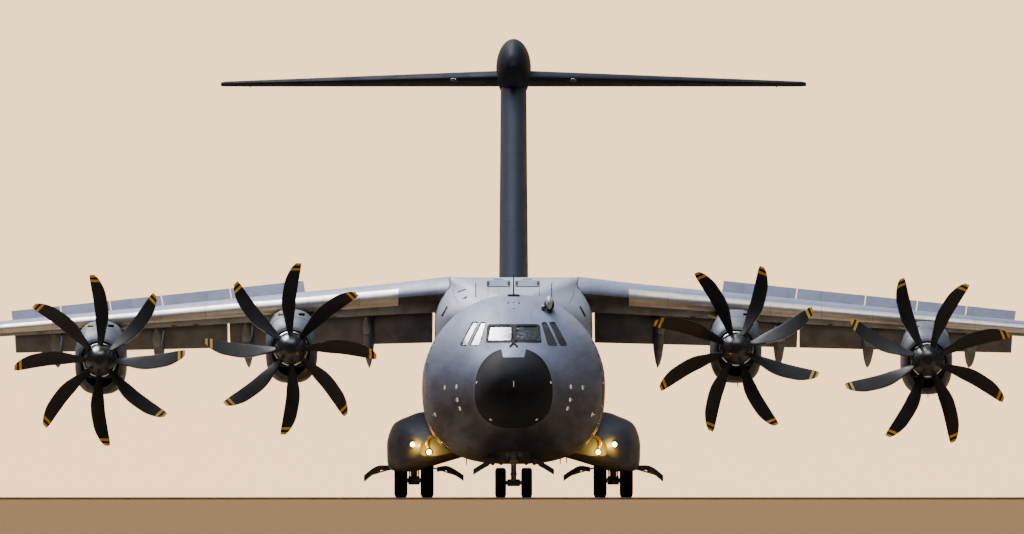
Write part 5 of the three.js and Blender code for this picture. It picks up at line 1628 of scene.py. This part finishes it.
def make_nacelle(engine):
    name, x, z, station, stretch, _, _ = engine
    body = Piece(nacelle_solid(engine)).object(f"nacelle_{name}_skin")
    lip = NACELLE[0][0]
    mouth = front_prism(intake_outline(x, z), station, station + lip + INTAKE_BACK)
    low, high = COWL_SLOT["z"]
    first, last = (station + back * stretch for back in COWL_SLOT["back"])
    slots = []
    for middle in (x - COWL_SLOT["x"], x + COWL_SLOT["x"]):
        corners = rectangle(middle - COWL_SLOT["half"], middle + COWL_SLOT["half"], z + low, z + high)
        slots.append(front_prism(rounded(corners, 24, 4), first, last))
    carve(body, *less(mouth, *slots, wing_solid(math.copysign(1, x), *WING_SEAT)))

    def mark(centre, normal, old):
        """1 in the intake and the slots, 2 on the front face, 0 on the cowl."""
        at_x, at_station, at_z = unplace(centre)
        back, dx, dz = at_station - station, at_x - x, at_z - z
        inward = dx * normal.x + (dz + 700) * normal.z < 0
        if -900 < dz < -520 and abs(dx) < 432 and abs(normal.y) < 0.5 and inward:
            return 1
        if back > 1050 and normal.y < -0.9 and dz < -500:
            return 1
        in_slot = abs(abs(dx) - COWL_SLOT["x"]) < COWL_SLOT["half"] + 2 and low - 2 < dz < high + 2
        if in_slot and abs(normal.y) > 0.97:
            return 1
        return 2 if normal.y < -0.93 and back < 330 else 0

    looks = (nacelle_paints[abs(x)], matt_black, matt_black)
    finish(body, "airframe", looks, [f"nacelle_{name}"], mark=mark)

    # Intake lip, ring behind the spinner, jet pipe with its inner wall, two black bands across the cowl top
    # and strake
    extras = Piece()
    edge = [place(px, station + lip * stretch + 4, pz) for px, pz in intake_outline(x, z, 14)]
    extras.add(loop_tube(edge, 26, 8))
    ring = (0, 262), (468, 262), (474, 176), (494, 146), (520, 150), (548, 190), (566, 262), (0, 263)
    extras.add(lathe(ring, place(x, station, z), Y, 72), 4)
    # Two black bands across the top of the cowl, a thin one and a thick one further back.
    for back, radius in ((1130, 9), (3350, 26)):
        seal = [on_cowl(engine, 770 * math.sin(math.radians(a)), back, -4) for a in range(-78, 79, 6)]
        extras.add(tube(seal, radius, 8), 1)
    reach = COWL_SLOT["half"] + 6
    for middle in (x - COWL_SLOT["x"], x + COWL_SLOT["x"]):
        for height in (low - 4, high + 4):
            line = [place(middle + dx, first + 330 * stretch, z + height) for dx in (-reach, 0, reach)]
            extras.add(tube(line, 7, 6))
    inboard = -math.copysign(1, x)
    strake = [(x + inboard * dx, z + dz) for dx, dz in ((590, 950), (845, 1040), (850, 1058), (590, 985))]
    extras.add(front_prism(strake, station + 2350 * stretch, station + 3150 * stretch), 5)
    stripe = [on_cowl(engine, lerp(-115, -640, k / 10), lerp(1370, 2350, k / 10), 4) for k in range(11)]
    extras.add(tube(stripe, 15, 8), 6)
    pipe, end = place(x, station + 4800 * stretch, z - 330), place(x, station + 6300 * stretch, z - 390)
    length = (end - pipe).length / SCALE
    profile = (
        (0, 0), (290, 0), (290, length - 90), (276, length - 8), (266, length),
        (254, length - 10), (250, length - 900), (0, length - 905),
    )
    extras.add(lathe(profile, pipe, end - pipe, 48), 2)
    mast = place(x + 60, station + 3000 * stretch, z - 1010)
    extras.add(bar(mast, mast - Z * 150 * SCALE, 18, 14, 12), 3)
    looks = (small_paint, matt_black, hot_metal, steel, steel, pale_paint, warning_yellow)
    finish(extras.object(f"nacelle_{name}_fittings"), "airframe", looks)


TIP_BAND = (2420, 2540)
TIP_FROM, BRIGHT_FROM = 2585, 900
CUFF = (0, 330), (150, 335), (152, 452), (120, 478), (0, 480)


def make_propeller(engine):
    """Spinner and eight swept blades with bright leading edges and tips."""
    name, x, z, station, _, hand, start = engine
    hub = Vector()
    prop = Piece(lathe(SPINNER, hub, Y, 96))
    verts, faces, count = blade_solid(hand)
    marks = []
    for face in faces:
        radius = sum(verts[i].z for i in face) / len(face) / SCALE
        ring = {i % count for i in face}
        near_edge = len(ring) == 2 and ring <= {0, 1, count - 1}
        band = TIP_BAND[0] < radius < TIP_BAND[1] or radius > TIP_FROM
        marks.append(2 if band else 3 if near_edge and radius > BRIGHT_FROM else 1)
    for k in range(8):
        angle = start + 45 * k
        prop.add(turned((verts, faces), hub, Y, angle))
        prop.marks[-len(faces):] = marks
        prop.add(turned(lathe(CUFF, hub, Z, 32), hub, Y, angle), 1)
    prop.add(lathe(((0, -628), (96, -626), (150, -604), (150, -592), (0, -590)), hub, Y, 48), 1)
    prop.add(lathe(((466, 20), (474, 22), (474, 44), (466, 46)), hub, Y, 96), 3)
    for k in range(16):
        angle = math.tau * (k + 0.5) / 16
        bolt = Vector((math.cos(angle) * 446, -140, math.sin(angle) * 446)) * SCALE
        prop.add(ball(bolt, (12, 12, 12), 10, 6), 3)
    shift = place(x, station, z)
    prop.verts = [vert + shift for vert in prop.verts]
    node = f"propeller_{name}"
    looks = (spinner_black, blade_black, tip_yellow, blade_edge)
    finish(prop.object(f"{node}_blades"), node, looks, [node])


# Sponsons: station, outer edge, top, bottom
SPONSON = (
    (12300, 2900, 1900, 1300),
    (12700, 3280, 2180, 1080),
    (13600, 3680, 2500, 900),
    (15000, 3940, 2680, 820),
    (22000, 3940, 2680, 820),
    (24000, 3680, 2560, 950),
    (25600, 3000, 2160, 1330),
)
# Section of a sponson: shares of the way out and of the height, from below to the top
SPONSON_SHAPE = (
    (0, 0.26), (0.36, 0.12), (0.6, 0.02), (0.78, 0), (0.934, 0.02), (0.988, 0.12), (1, 0.38), (0.996, 0.5),
    (0.96, 0.68), (0.89, 0.82), (0.73, 0.92), (0.52, 1), (0, 1),
)
# Wheel bay: the two x, the two stations, the two heights
BAY = (2430, 3820, 16150, 21250, 300, 2050)
SPONSON_ROOT, SPONSON_NOSE = 1500, 2300

# Landing lamps: x, height, station
LAMPS = ((3124, 1656, 12480), (2622, 1418, 12250))
LAMP_HOUSING = (
    (0, 380), (82, 378), (85, 340), (85, 12), (96, 2), (96, -12), (86, -20),
    (76, -12), (70, 16), (30, 70), (0, 74),
)
LAMP_GLASS = (0, -16), (40, -14), (70, -6), (72, 2), (0, 4)
# Lip of the air inlet: x, station, height
DUCT_LIP = (
    (2380, 12400, 1930), (2540, 12335, 1905), (2655, 12295, 1810), (2690, 12285, 1680), (2665, 12300, 1550),
)


def sponson_solid(sign, grow=0):
    shape = smooth_outline(SPONSON_SHAPE)
    first, last = SPONSON[0][0], SPONSON[-1][0]
    stations = [first + SPONSON_NOSE * (1 - math.cos(math.pi / 2 * k / 24)) for k in range(24)]
    stations += [lerp(first + SPONSON_NOSE, last, k / 40) for k in range(41)]
    rings = []
    for station in stations:
        outer, top, bottom = read_row(SPONSON, station)
        outer, top, bottom = outer + grow, top + grow, bottom - grow
        ring = [(sign * lerp(SPONSON_ROOT, outer, min(a, 1)), lerp(bottom, top, b)) for a, b in shape]
        rings.append([place(x, station, z) for x, z in ring])
    return loft(rings)


def bay_box(sign):
    return box(*sorted((sign * BAY[0], sign * BAY[1])), *BAY[2:])


def plate(line, thick, start, end):
    return front_prism(list(line) + [(x, z - thick) for x, z in reversed(line)], start, end)


# Main gear doors: name, section of the upper face, x of the struts' feet
DOOR_THICK = 150
MAIN_DOORS = (
    ("outer", ((3850, 1010), (4180, 1010), (4420, 900), (4660, 700)), 3720),
    ("inner", ((2390, 960), (2080, 1000), (1830, 890), (1560, 710)), 2520),
)


def door_rib(line, thick, station, half):
    """A rib below a door, half its width to each side of a station."""
    return plate([(x, z - DOOR_THICK + 4) for x, z in line], thick, station - half, station + half)


def make_sponson(side, sign):
    body = Piece(sponson_solid(sign)).object(f"sponson_{side}_skin")
    carve(body, *less(bay_box(sign), hull(11000, 27000, -SEAM)))

    def mark(centre, normal, old):
        """1 on the flat walls of the bay."""
        x, station, z = unplace(centre)
        within = BAY[0] - 2 < abs(x) < BAY[1] + 2 and BAY[2] - 2 < station < BAY[3] + 2 and z < BAY[5] + 2
        flat = max(abs(normal.x), abs(normal.y), abs(normal.z)) > 0.999
        return 1 if within and flat else 0

    finish(body, "airframe", (small_paint, primer), [f"sponson_{side}"], mark=mark)

    # Landing lamps with their screws, lip and inside of the air inlet
    lamps = Piece()
    for lamp_x, lamp_z, station in LAMPS:
        spot = place(sign * lamp_x, station, lamp_z)
        lamps.add(lathe(LAMP_HOUSING, spot, Y, 40))
        lamps.add(lathe(LAMP_GLASS, spot, Y, 40), 1)
        for k in range(6):
            angle = math.tau * k / 6
            screw = spot + Vector((math.cos(angle) * 90, -18, math.sin(angle) * 90)) * SCALE
            lamps.add(ball(screw, (9, 9, 9), 10, 6), 2)
    for dx, ahead, dz, radius, look in ((0, 0, 0, 42, 3), (-60, 30, -20, 40, 4)):
        line = [place(sign * (x + dx), station + ahead, z + dz) for x, station, z in DUCT_LIP]
        lamps.add(tube([Vector(point) for point in smooth_outline(line, 5)], radius, 14), look)
    looks = (small_paint, lamp, steel, bronze, matt_black)
    finish(lamps.object(f"sponson_lamps_{side}"), "airframe", looks)


def make_main_doors(side, sign):
    """Doors beside the bay, ribs below them and the struts that hold them open."""
    for name, line, strut_x in MAIN_DOORS:
        bent = smooth_outline(mirrored(line, sign), 6)
        door = Piece(plate(bent, DOOR_THICK, BAY[2], BAY[3])).object(f"gear_door_{name}_{side}_skin")
        carve(door, *less(sponson_solid(sign, SEAM), bay_box(sign), hull(11000, 27000, -SEAM)))
        finish(door, "airframe", (small_paint,), [f"main_gear_door_{name}_{side}"])
        ribs = Piece()
        for k in range(6):
            ribs.add(door_rib(bent[6:], 42, lerp(BAY[2] + 180, BAY[3] - 180, k / 5), 22))
        x, z = bent[12]
        for station in (17100, 20300):
            foot = place(sign * strut_x, station, 940)
            ribs.add(bar(foot, place(x, station, z - DOOR_THICK - 20), 26, 22, 14), 1)
        finish(ribs.object(f"gear_door_{name}_{side}_ribs"), "airframe", (primer, steel))


# Wheels
# Rim: share of the wheel's radius, depth under the tyre's side, on the outer and the inner face
RIM_OUT = (0, 70), (0.12, 70), (0.13, 92), (0.3, 100), (0.42, 78), (0.5, 40), (0.53, 16)
RIM_IN = (0.53, 16), (0.48, 40), (0.4, 60), (0.2, 60), (0, 60)
RUBBER_FROM = 0.545
# Grooves of the tread: places as shares of the width, then depth and side step of each corner
GROOVES = (0.26, 0.09, -0.09, -0.26)
GROOVE = (0, 12), (12, 8), (12, -8), (0, -12)


def wheel_profile(radius, width, track):
    """From the hub's outer face over the tread to its inner face."""
    outer, inner = track + width / 2, track - width / 2
    rim_out = [(radius * share, outer - depth) for share, depth in RIM_OUT]
    rim_in = [(radius * share, inner + depth) for share, depth in RIM_IN]
    wall_out = [
        (radius * 0.56, outer - 12), (radius * 0.66, outer - 2), (radius * 0.8, outer),
        (radius * 0.9, outer - width * 0.05), (radius * 0.965, outer - width * 0.11),
    ]
    wall_in = [(r, inner + outer - a) for r, a in reversed(wall_out)]
    tread = [(radius - 3, outer - width * 0.17), (radius, outer - width * 0.22)]
    for share in GROOVES:
        tread += [(radius - depth, track + share * width + step) for depth, step in GROOVE]
    tread += [(radius, inner + width * 0.22), (radius - 3, inner + width * 0.17)]
    return rim_out + wall_out + tread + wall_in + rim_in


def make_wheels(name, node, x, station, radius, width, track, axle):
    """Twin wheels and their axle, each tyre track from the middle."""
    made = Piece()
    centre = place(x, station, radius)
    for direction in (X, -X):
        verts, faces = lathe(wheel_profile(radius, width, track), centre, direction, 72)
        made.add((verts, faces))
        marks = []
        for face in faces:
            middle = sum((verts[i] for i in face), Vector()) / len(face)
            size = Vector((0, middle.y - centre.y, middle.z - centre.z)).length / SCALE
            marks.append(0 if size > radius * RUBBER_FROM else 1)
        made.marks[-len(faces):] = marks
        for k in range(10):
            angle = math.tau * k / 10
            bolt = centre + direction * (track + width / 2 - 84) * SCALE
            bolt += Vector((0, math.cos(angle), math.sin(angle))) * radius * 0.36 * SCALE
            made.add(bar(bolt, bolt + direction * 26 * SCALE, 14, sides=6), 2)
        hub = centre + direction * (track + width / 2 - 90) * SCALE
        made.add(lathe(((0, 0), (62, 2), (62, 46), (50, 60), (0, 62)), hub, direction, 32), 2)
    made.add(bar(centre - X * track * SCALE, centre + X * track * SCALE, axle), 2)
    finish(made.object(name), node, (rubber, rim_paint, steel), [node])


MAIN_X, MAIN_RADIUS, MAIN_TOP = 3110, 545, 1949
MAIN_STATIONS = (17150, 18700, 20250)


def main_hose(x, side, station):
    """A hose bowed outwards beside a main leg."""
    path = []
    for k in range(9):
        t = k / 8
        bow = 128 + 22 * math.sin(math.pi * t)
        path.append(place(x + side * bow, station - 420 + 260 * t, lerp(1700, 620, t)))
    return tube(path, 14, 8)


def make_main_gear(side, sign):
    """One carrier with three legs, and twin wheels on each leg."""
    x = sign * MAIN_X
    legs = Piece(box(x - 130, x + 130, BAY[2] + 100, BAY[3] - 100, MAIN_TOP - 60, MAIN_TOP + 100))
    for number, station in enumerate(MAIN_STATIONS, 1):
        node = f"main_wheels_{side}_{number}"
        make_wheels(f"{node}_tyres", node, x, station, MAIN_RADIUS, 400, 410, 70)
        knee, elbow = place(x, station - 420, 900), place(x, station + 40, 1240)
        legs.add(bar(place(x, station - 420, MAIN_TOP), knee, 120, 112, 32))
        legs.add(lathe(((128, 0), (140, 20), (140, 90), (128, 110)), knee, Z, 32), 2)
        legs.add(bar(place(x, station - 440, 860), place(x, station, MAIN_RADIUS), 105, 85, 28))
        legs.add(bar(place(x, station + 160, MAIN_TOP), elbow, 80, sides=24))
        legs.add(bar(elbow, place(x, station - 60, 605), 52, sides=24), 1)
        inner, outer = (place(x + offset, station, MAIN_RADIUS) for offset in (-175, 175))
        legs.add(bar(inner, outer, 135, sides=32))
        for offset in (-1, 1):
            legs.add(main_hose(x, offset, station), 3)
    node = f"main_gear_legs_{side}"
    looks = (gear_paint, steel, rim_paint, hose)
    finish(legs.object(f"{node}_detail"), "airframe", looks, [node])


# Nose gear: station and radius of the wheels, height of the leg's foot and of the bay's ceiling
NOSE_STATION, NOSE_RADIUS = 5080, 465
NOSE_SPLIT, NOSE_CEILING = 1080, 2299
NOSE_LAMP = (0, 45), (56, 42), (80, 6), (80, -38), (74, -45), (0, -44)
NOSE_LENS = (0, -44), (70, -44), (58, -56), (30, -62), (0, -63)


def make_nose_leg():
    """Leg and drag brace with their heads, collar, hoses and two lamps."""
    station, foot, ceiling = NOSE_STATION, NOSE_SPLIT, NOSE_CEILING
    leg = Piece(bar(place(0, station, foot), place(0, station, ceiling), 110, sides=36))
    leg.add(box(-260, 260, station - 110, station + 110, ceiling - 120, ceiling))
    leg.add(bar(place(0, 5790, ceiling - 60), place(0, station + 60, foot + 260), 55, 48, 24))
    leg.add(box(-200, 200, 5710, 5870, ceiling - 120, ceiling))
    leg.add(lathe(((112, 0), (128, 14), (128, 70), (112, 84)), place(0, station, foot), Z, 36), 2)
    lights = Piece()
    for offset in (-1, 1):
        leg.add(tube([place(offset * 128, station + 30, z) for z in (2200, 1800, 1400, 1130)], 13, 8), 3)
        inner, outer = (place(offset * x, station - 115, 1330) for x in (40, 175))
        leg.add(bar(inner, outer, 30, sides=16))
        spot = place(offset * 205, station - 130, 1330)
        lights.add(lathe(NOSE_LAMP, spot, Y, 32))
        lights.add(lathe(NOSE_LENS, spot, Y, 32), 1)
    looks = (gear_paint, steel, rim_paint, hose)
    finish(leg.object("nose_leg_detail"), "airframe", looks, ["nose_leg"])
    finish(lights.object("nose_leg_lamps"), "airframe", (gear_paint, lens))


def make_nose_steering():
    """Fork, axle and torque links, which turn with the wheels."""
    station, radius = NOSE_STATION, NOSE_RADIUS
    fork = Piece(bar(place(0, station, radius), place(0, station, NOSE_SPLIT - 15), 85, sides=36))
    fork.add(bar(place(-200, station, radius), place(200, station, radius), 108, sides=32), 1)
    fork.add(lathe(((86, 0), (104, 10), (104, 60), (86, 70)), place(0, station, 700), Z, 36), 1)
    for z in (1010, 500):
        for offset in (-34, 34):
            knee = place(offset * 0.6, station - 290, 770)
            fork.add(bar(place(offset, station - 60, z), knee, 20, 17, 12), 1)
    fork.add(bar(place(-48, station - 290, 768), place(48, station - 290, 768), 24, sides=16))
    fork.add(bar(place(-30, station - 62, 500), place(30, station - 62, 500), 40, sides=16), 1)
    looks = (steel, gear_paint)
    finish(fork.object("nose_steering_detail"), "nose_steering", looks, ["nose_steering"])
    make_wheels("nose_tyres", "nose_wheels", 0, station, radius, 340, 400, 60)


def make_nose_doors():
    for side, sign in SIDES:
        line = smooth_outline(mirrored(((560, 1250), (900, 1090), (1240, 880)), sign), 8)
        door = Piece(plate(line, DOOR_THICK, 4290, 6010)).object(f"nose_door_{side}_skin")
        carve(door, *less(hull(3000, 8000, -2 * SEAM)))
        finish(door, "airframe", (small_paint,), [f"nose_gear_door_{side}"])
        ribs = Piece()
        for k in range(4):
            ribs.add(door_rib(line[5:], 34, lerp(4420, 5880, k / 3), 18))
        ribs.add(bar(place(sign * 500, 5100, 1420), place(sign * 960, 5100, 1010), 20, 16, 12), 1)
        finish(ribs.object(f"nose_door_{side}_ribs"), "airframe", (primer, steel))


# Tail: values at both ends of the fin and of the tailplane
FIN = {"z": (5900, 13150), "edge": (31600, 37900), "chord": (8300, 5500), "half": (470, 410)}
TAIL = {"edge": (39100, 43150), "chord": (4700, 1950), "height": (13480, 13350), "half": (260, 80)}
TAIL_SPAN = 9450
FIN_FOOT, TIP_LENGTH = 700, 250
# Rudder and elevators: place of the hinge on the chord, radius of the nose
RUDDER_SHAPE, ELEVATOR_SHAPE = (0.68, 0.035), (0.7, 0.032)
# Fairing over the fin's top: station, half width, up and down from its middle, height of its middle
BULLET_NOSE = 800
BULLET = (
    (37300, 60, 60, 60, 13800),
    (37600, 260, 400, 420, 13800),
    (38500, 470, 780, 880, 13800),
    (39900, 560, 940, 1100, 13800),
    (42300, 520, 840, 1000, 13800),
    (44000, 320, 480, 640, 13780),
    (45000, 60, 100, 160, 13700),
)


def fin_point(z, u, h):
    low, high = FIN["z"]
    t = (z - low) / (high - low)
    edge, chord, half = (lerp(*FIN[key], t) for key in ("edge", "chord", "half"))
    return place(h * half, edge + u * chord, z)


def fin_solid(grow=0):
    """The fin with its wider foot."""
    low, high = FIN["z"]
    heights = [lerp(low, low + FIN_FOOT, k / 8) for k in range(8)]
    heights += [lerp(low + FIN_FOOT, high, k / 20) for k in range(21)]
    rings = []
    for z in heights:
        wide = 1 + 0.35 * max(0, 1 - (z - low) / FIN_FOOT) ** 2
        ring = []
        for u, h in aerofoil(half_thickness, underside):
            ring.append(fin_point(z, u + (u - 0.5) * grow / 2500, h * wide + math.copysign(grow / 400, h)))
        rings.append(ring)
    return loft(rings)


def tail_point(sign, span, u, h):
    t = span / TAIL_SPAN
    edge, chord, height, half = (lerp(*TAIL[key], t) for key in ("edge", "chord", "height", "half"))
    return place(sign * span, edge + u * chord, height + h * half)


def tail_solid(sign, grow=0):
    """One side of the tailplane, to a rounded tip."""

    def ring(span, shrink, shift):
        points = []
        for u, h in aerofoil(half_thickness, underside):
            across = shift + (u - shift) * shrink + (u - 0.5) * grow / 1500
            points.append(tail_point(sign, span, across, h * shrink + math.copysign(grow / 150, h)))
        return points

    square_end = TAIL_SPAN - TIP_LENGTH
    rings = [ring(lerp(0, square_end, k / 24), 1, 0) for k in range(25)]
    for t in (0.3, 0.55, 0.75, 0.9, 1):
        reach = 1 - math.sqrt(max(1 - t * t, 0))
        rings.append(ring(square_end + TIP_LENGTH * t, 1 - 0.38 * reach, 1))
    return loft(rings)


def bullet_solid():
    first, last = BULLET[0][0], BULLET[-1][0]
    stations = [first + BULLET_NOSE * (1 - math.cos(math.pi / 2 * k / 14)) for k in range(14)]
    stations += [lerp(first + BULLET_NOSE, last, k / 36) for k in range(37)]
    rings = []
    for station in stations:
        half, up, down, middle = read_row(BULLET, station)
        rings.append(oval(64, 0, station, middle, half, up, down, 2))
    return loft(rings)


def loft_between(outline, start, end, put, steps):
    return loft([[put(lerp(start, end, k / steps), u, h) for u, h in outline] for k in range(steps + 1)])


def make_fin():
    hinge, nose = RUDDER_SHAPE
    fin = Piece(fin_solid()).object("fin_skin")
    hole = loft_between(rear_of(hinge - nose - 0.016), 6340, 12690, fin_point, 1)
    carve(fin, *less(hole, hull(30000, HULL[-1][0], -SEAM)))
    finish(fin, "airframe", (fin_paint, edge_metal), ["fin"])
    outline = control_outline(hinge, nose, half_thickness, underside)
    rudder = Piece(loft_between(outline, 6450, 12530, fin_point, 16))
    finish(rudder.object("rudder_skin"), "rudder", (fin_paint,), ["rudder"])


def make_tailplane():
    hinge, nose = ELEVATOR_SHAPE
    surface = Piece(tail_solid(1)).object("tailplane_skin")
    carve(surface, ("UNION", tail_solid(-1)))
    pocket = rear_of(hinge - nose - 0.012)
    for sign in (1, -1):
        carve(surface, ("DIFFERENCE", loft_between(pocket, 870, 9130, partial(tail_point, sign), 1)))
    finish(surface, "airframe", (tail_paint, edge_metal), ["tailplane"])
    outline = control_outline(hinge, nose, half_thickness, underside)
    for side, sign in SIDES:
        node = f"elevator_{side}"
        elevator = Piece(loft_between(outline, 900, 9100, partial(tail_point, sign), 20))
        finish(elevator.object(f"{node}_skin"), node, (tail_paint,), [node])


def make_tail_fittings():
    """Wicks, hinge fairings, leading edge lamps, beacon and tail light."""
    trim = Piece()
    for sign in (1, -1):
        for k in range(6):
            trim.add(wick(tail_point(sign, 9150 + 50 * k, 0.95, 0.02), 90))
        for k in range(5):
            arm = tail_point(sign, 1500 + 1750 * k, 0.7, underside(0.7) * 0.8)
            trim.add(ball(arm, (34, 330, 60), 20, 12), 2)
        spot = tail_point(sign, 1890, 0.006, underside(0.006) * 0.6)
        trim.add(ball(spot, (160, 70, 58), 28, 14), 3)
        trim.add(ball(spot, (75, 92, 26), 20, 12))
    for k in range(5):
        trim.add(wick(fin_point(12600 + 90 * k, 0.995, 0), 140))
    trim.add(lathe(((0, 0), (80, 0), (78, 40), (50, 66), (0, 72)), place(0, 41200, 14660), Z, 32), 1)
    trim.add(lathe(((0, 0), (96, 0), (96, 14), (82, 18), (0, 18)), place(0, 41200, 14650), Z, 32))
    trim.add(ball(place(0, 44960, 13700), (60, 120, 70), 24, 14), 3)
    finish(trim.object("tail_fittings"), "airframe", (matt_black, red_lens, small_paint, lens))


def make_bullet():
    bullet = Piece(bullet_solid()).object("tail_bullet_skin")
    carve(bullet, *less(fin_solid(SEAM), tail_solid(1, SEAM), tail_solid(-1, SEAM)))
    finish(bullet, "airframe", (tail_paint,), ["tail_bullet"])


make_seats()
make_flight_deck()
make_hold()
make_side_details()
make_radome()
make_nose()
make_nose_fittings()
make_forward()
make_centre_and_tail()
make_fairing()
make_fairing_details()
for name, sign in SIDES:
    make_wing(name, sign)
for engine in ENGINES:
    make_nacelle(engine)
    make_propeller(engine)
for name, sign in SIDES:
    make_sponson(name, sign)
    make_main_doors(name, sign)
    make_main_gear(name, sign)
make_nose_leg()
make_nose_steering()
make_nose_doors()
make_fin()
make_tailplane()
make_tail_fittings()
make_bullet()

# CAD nodes that stay, with better finishes
for node, look in (("cargo_floor", deck_look), ("flight_deck", panel_look), ("nose_gear_bay", primer)):
    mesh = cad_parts[node].data
    mesh.materials.clear()
    mesh.materials.append(look)

# Camera, floor and light
camera_data = bpy.data.cameras.new("camera")
camera_data.lens = 850
camera_data.sensor_width = 36
camera_data.clip_end = 3000
camera = bpy.data.objects.new("camera", camera_data)
bpy.context.scene.collection.objects.link(camera)
camera.location = (-0.025, -379.5, 0.02)
camera.rotation_euler = (math.radians(90.544), 0, 0)
bpy.context.scene.camera = camera


def studio_sheet(name, corners, look):
    """One flat face with its own look, not attached to any of the part's bodies."""
    made = Piece(([Vector(corner) for corner in corners], [(0, 1, 2, 3)])).object(name)
    made.data.materials.append(look.material)


floor_look = Look("floor", (0.47, 0.35, 0.23), 0.85)
sand = floor_look.noise(0.4, (1, 1, 1), 8.0)
floor_look.set("Base Color", floor_look.mix(sand, (0.44, 0.32, 0.2), (0.5, 0.38, 0.25)))
studio_sheet("studio_floor", [(x, y, 0) for x, y in rectangle(-700, 700, -700, 900)], floor_look)

backdrop_look = Look("backdrop", (0.8, 0.7, 0.6), 1.0, Emission_Strength=2.5)
haze = backdrop_look.noise(0.03, (1, 1, 1), 3.0)
backdrop_look.set("Emission Color", backdrop_look.mix(haze, (1.0, 0.64, 0.33), (1.0, 0.67, 0.37)))
studio_sheet("studio_backdrop", [(x, 640, z) for x, z in rectangle(-260, 260, 0, 160)], backdrop_look)

world = bpy.data.worlds.new("studio")
world.use_nodes = True
world.node_tree.nodes["Background"].inputs["Color"].default_value = (0.9, 0.9, 0.95, 1)
world.node_tree.nodes["Background"].inputs["Strength"].default_value = 0.02
bpy.context.scene.world = world


def add_light(name, kind, spot, power, color):
    data = bpy.data.lights.new(name, kind)
    data.energy = power
    data.color = color
    made = bpy.data.objects.new(name, data)
    bpy.context.scene.collection.objects.link(made)
    made.location = spot
    return made


def area_light(name, spot, aim, size, power, color, spread):
    made = add_light(name, "AREA", spot, power, color)
    made.data.shape = "RECTANGLE"
    made.data.spread = math.radians(spread)
    made.data.size, made.data.size_y = size
    made.rotation_euler = (Vector(aim) - Vector(spot)).to_track_quat("-Z", "Y").to_euler()
    made.visible_camera = False


area_light("sky_panel", (0, 2, 36), (0, 2, 3), (60, 50), 10000, (0.88, 0.93, 1.0), 66)
area_light("left_panel", (-14, 20, 34), (0, -9, 3), (26, 22), 3000, (0.95, 0.95, 1.0), 40)
area_light("floor_panel", (0, -310, 60), (0, -310, 0), (120, 190), 60000, (1.0, 0.8, 0.58), 60)

LANDING_POWER, LANDING_COLOR, LANDING_AHEAD = 16, (1.0, 0.55, 0.06), 190
for _, sign in SIDES:
    for lamp_x, lamp_z, station in LAMPS:
        spot = place(sign * lamp_x, station - LANDING_AHEAD, lamp_z)
        add_light("landing_light", "POINT", spot, LANDING_POWER, LANDING_COLOR).data.shadow_soft_size = 0.04
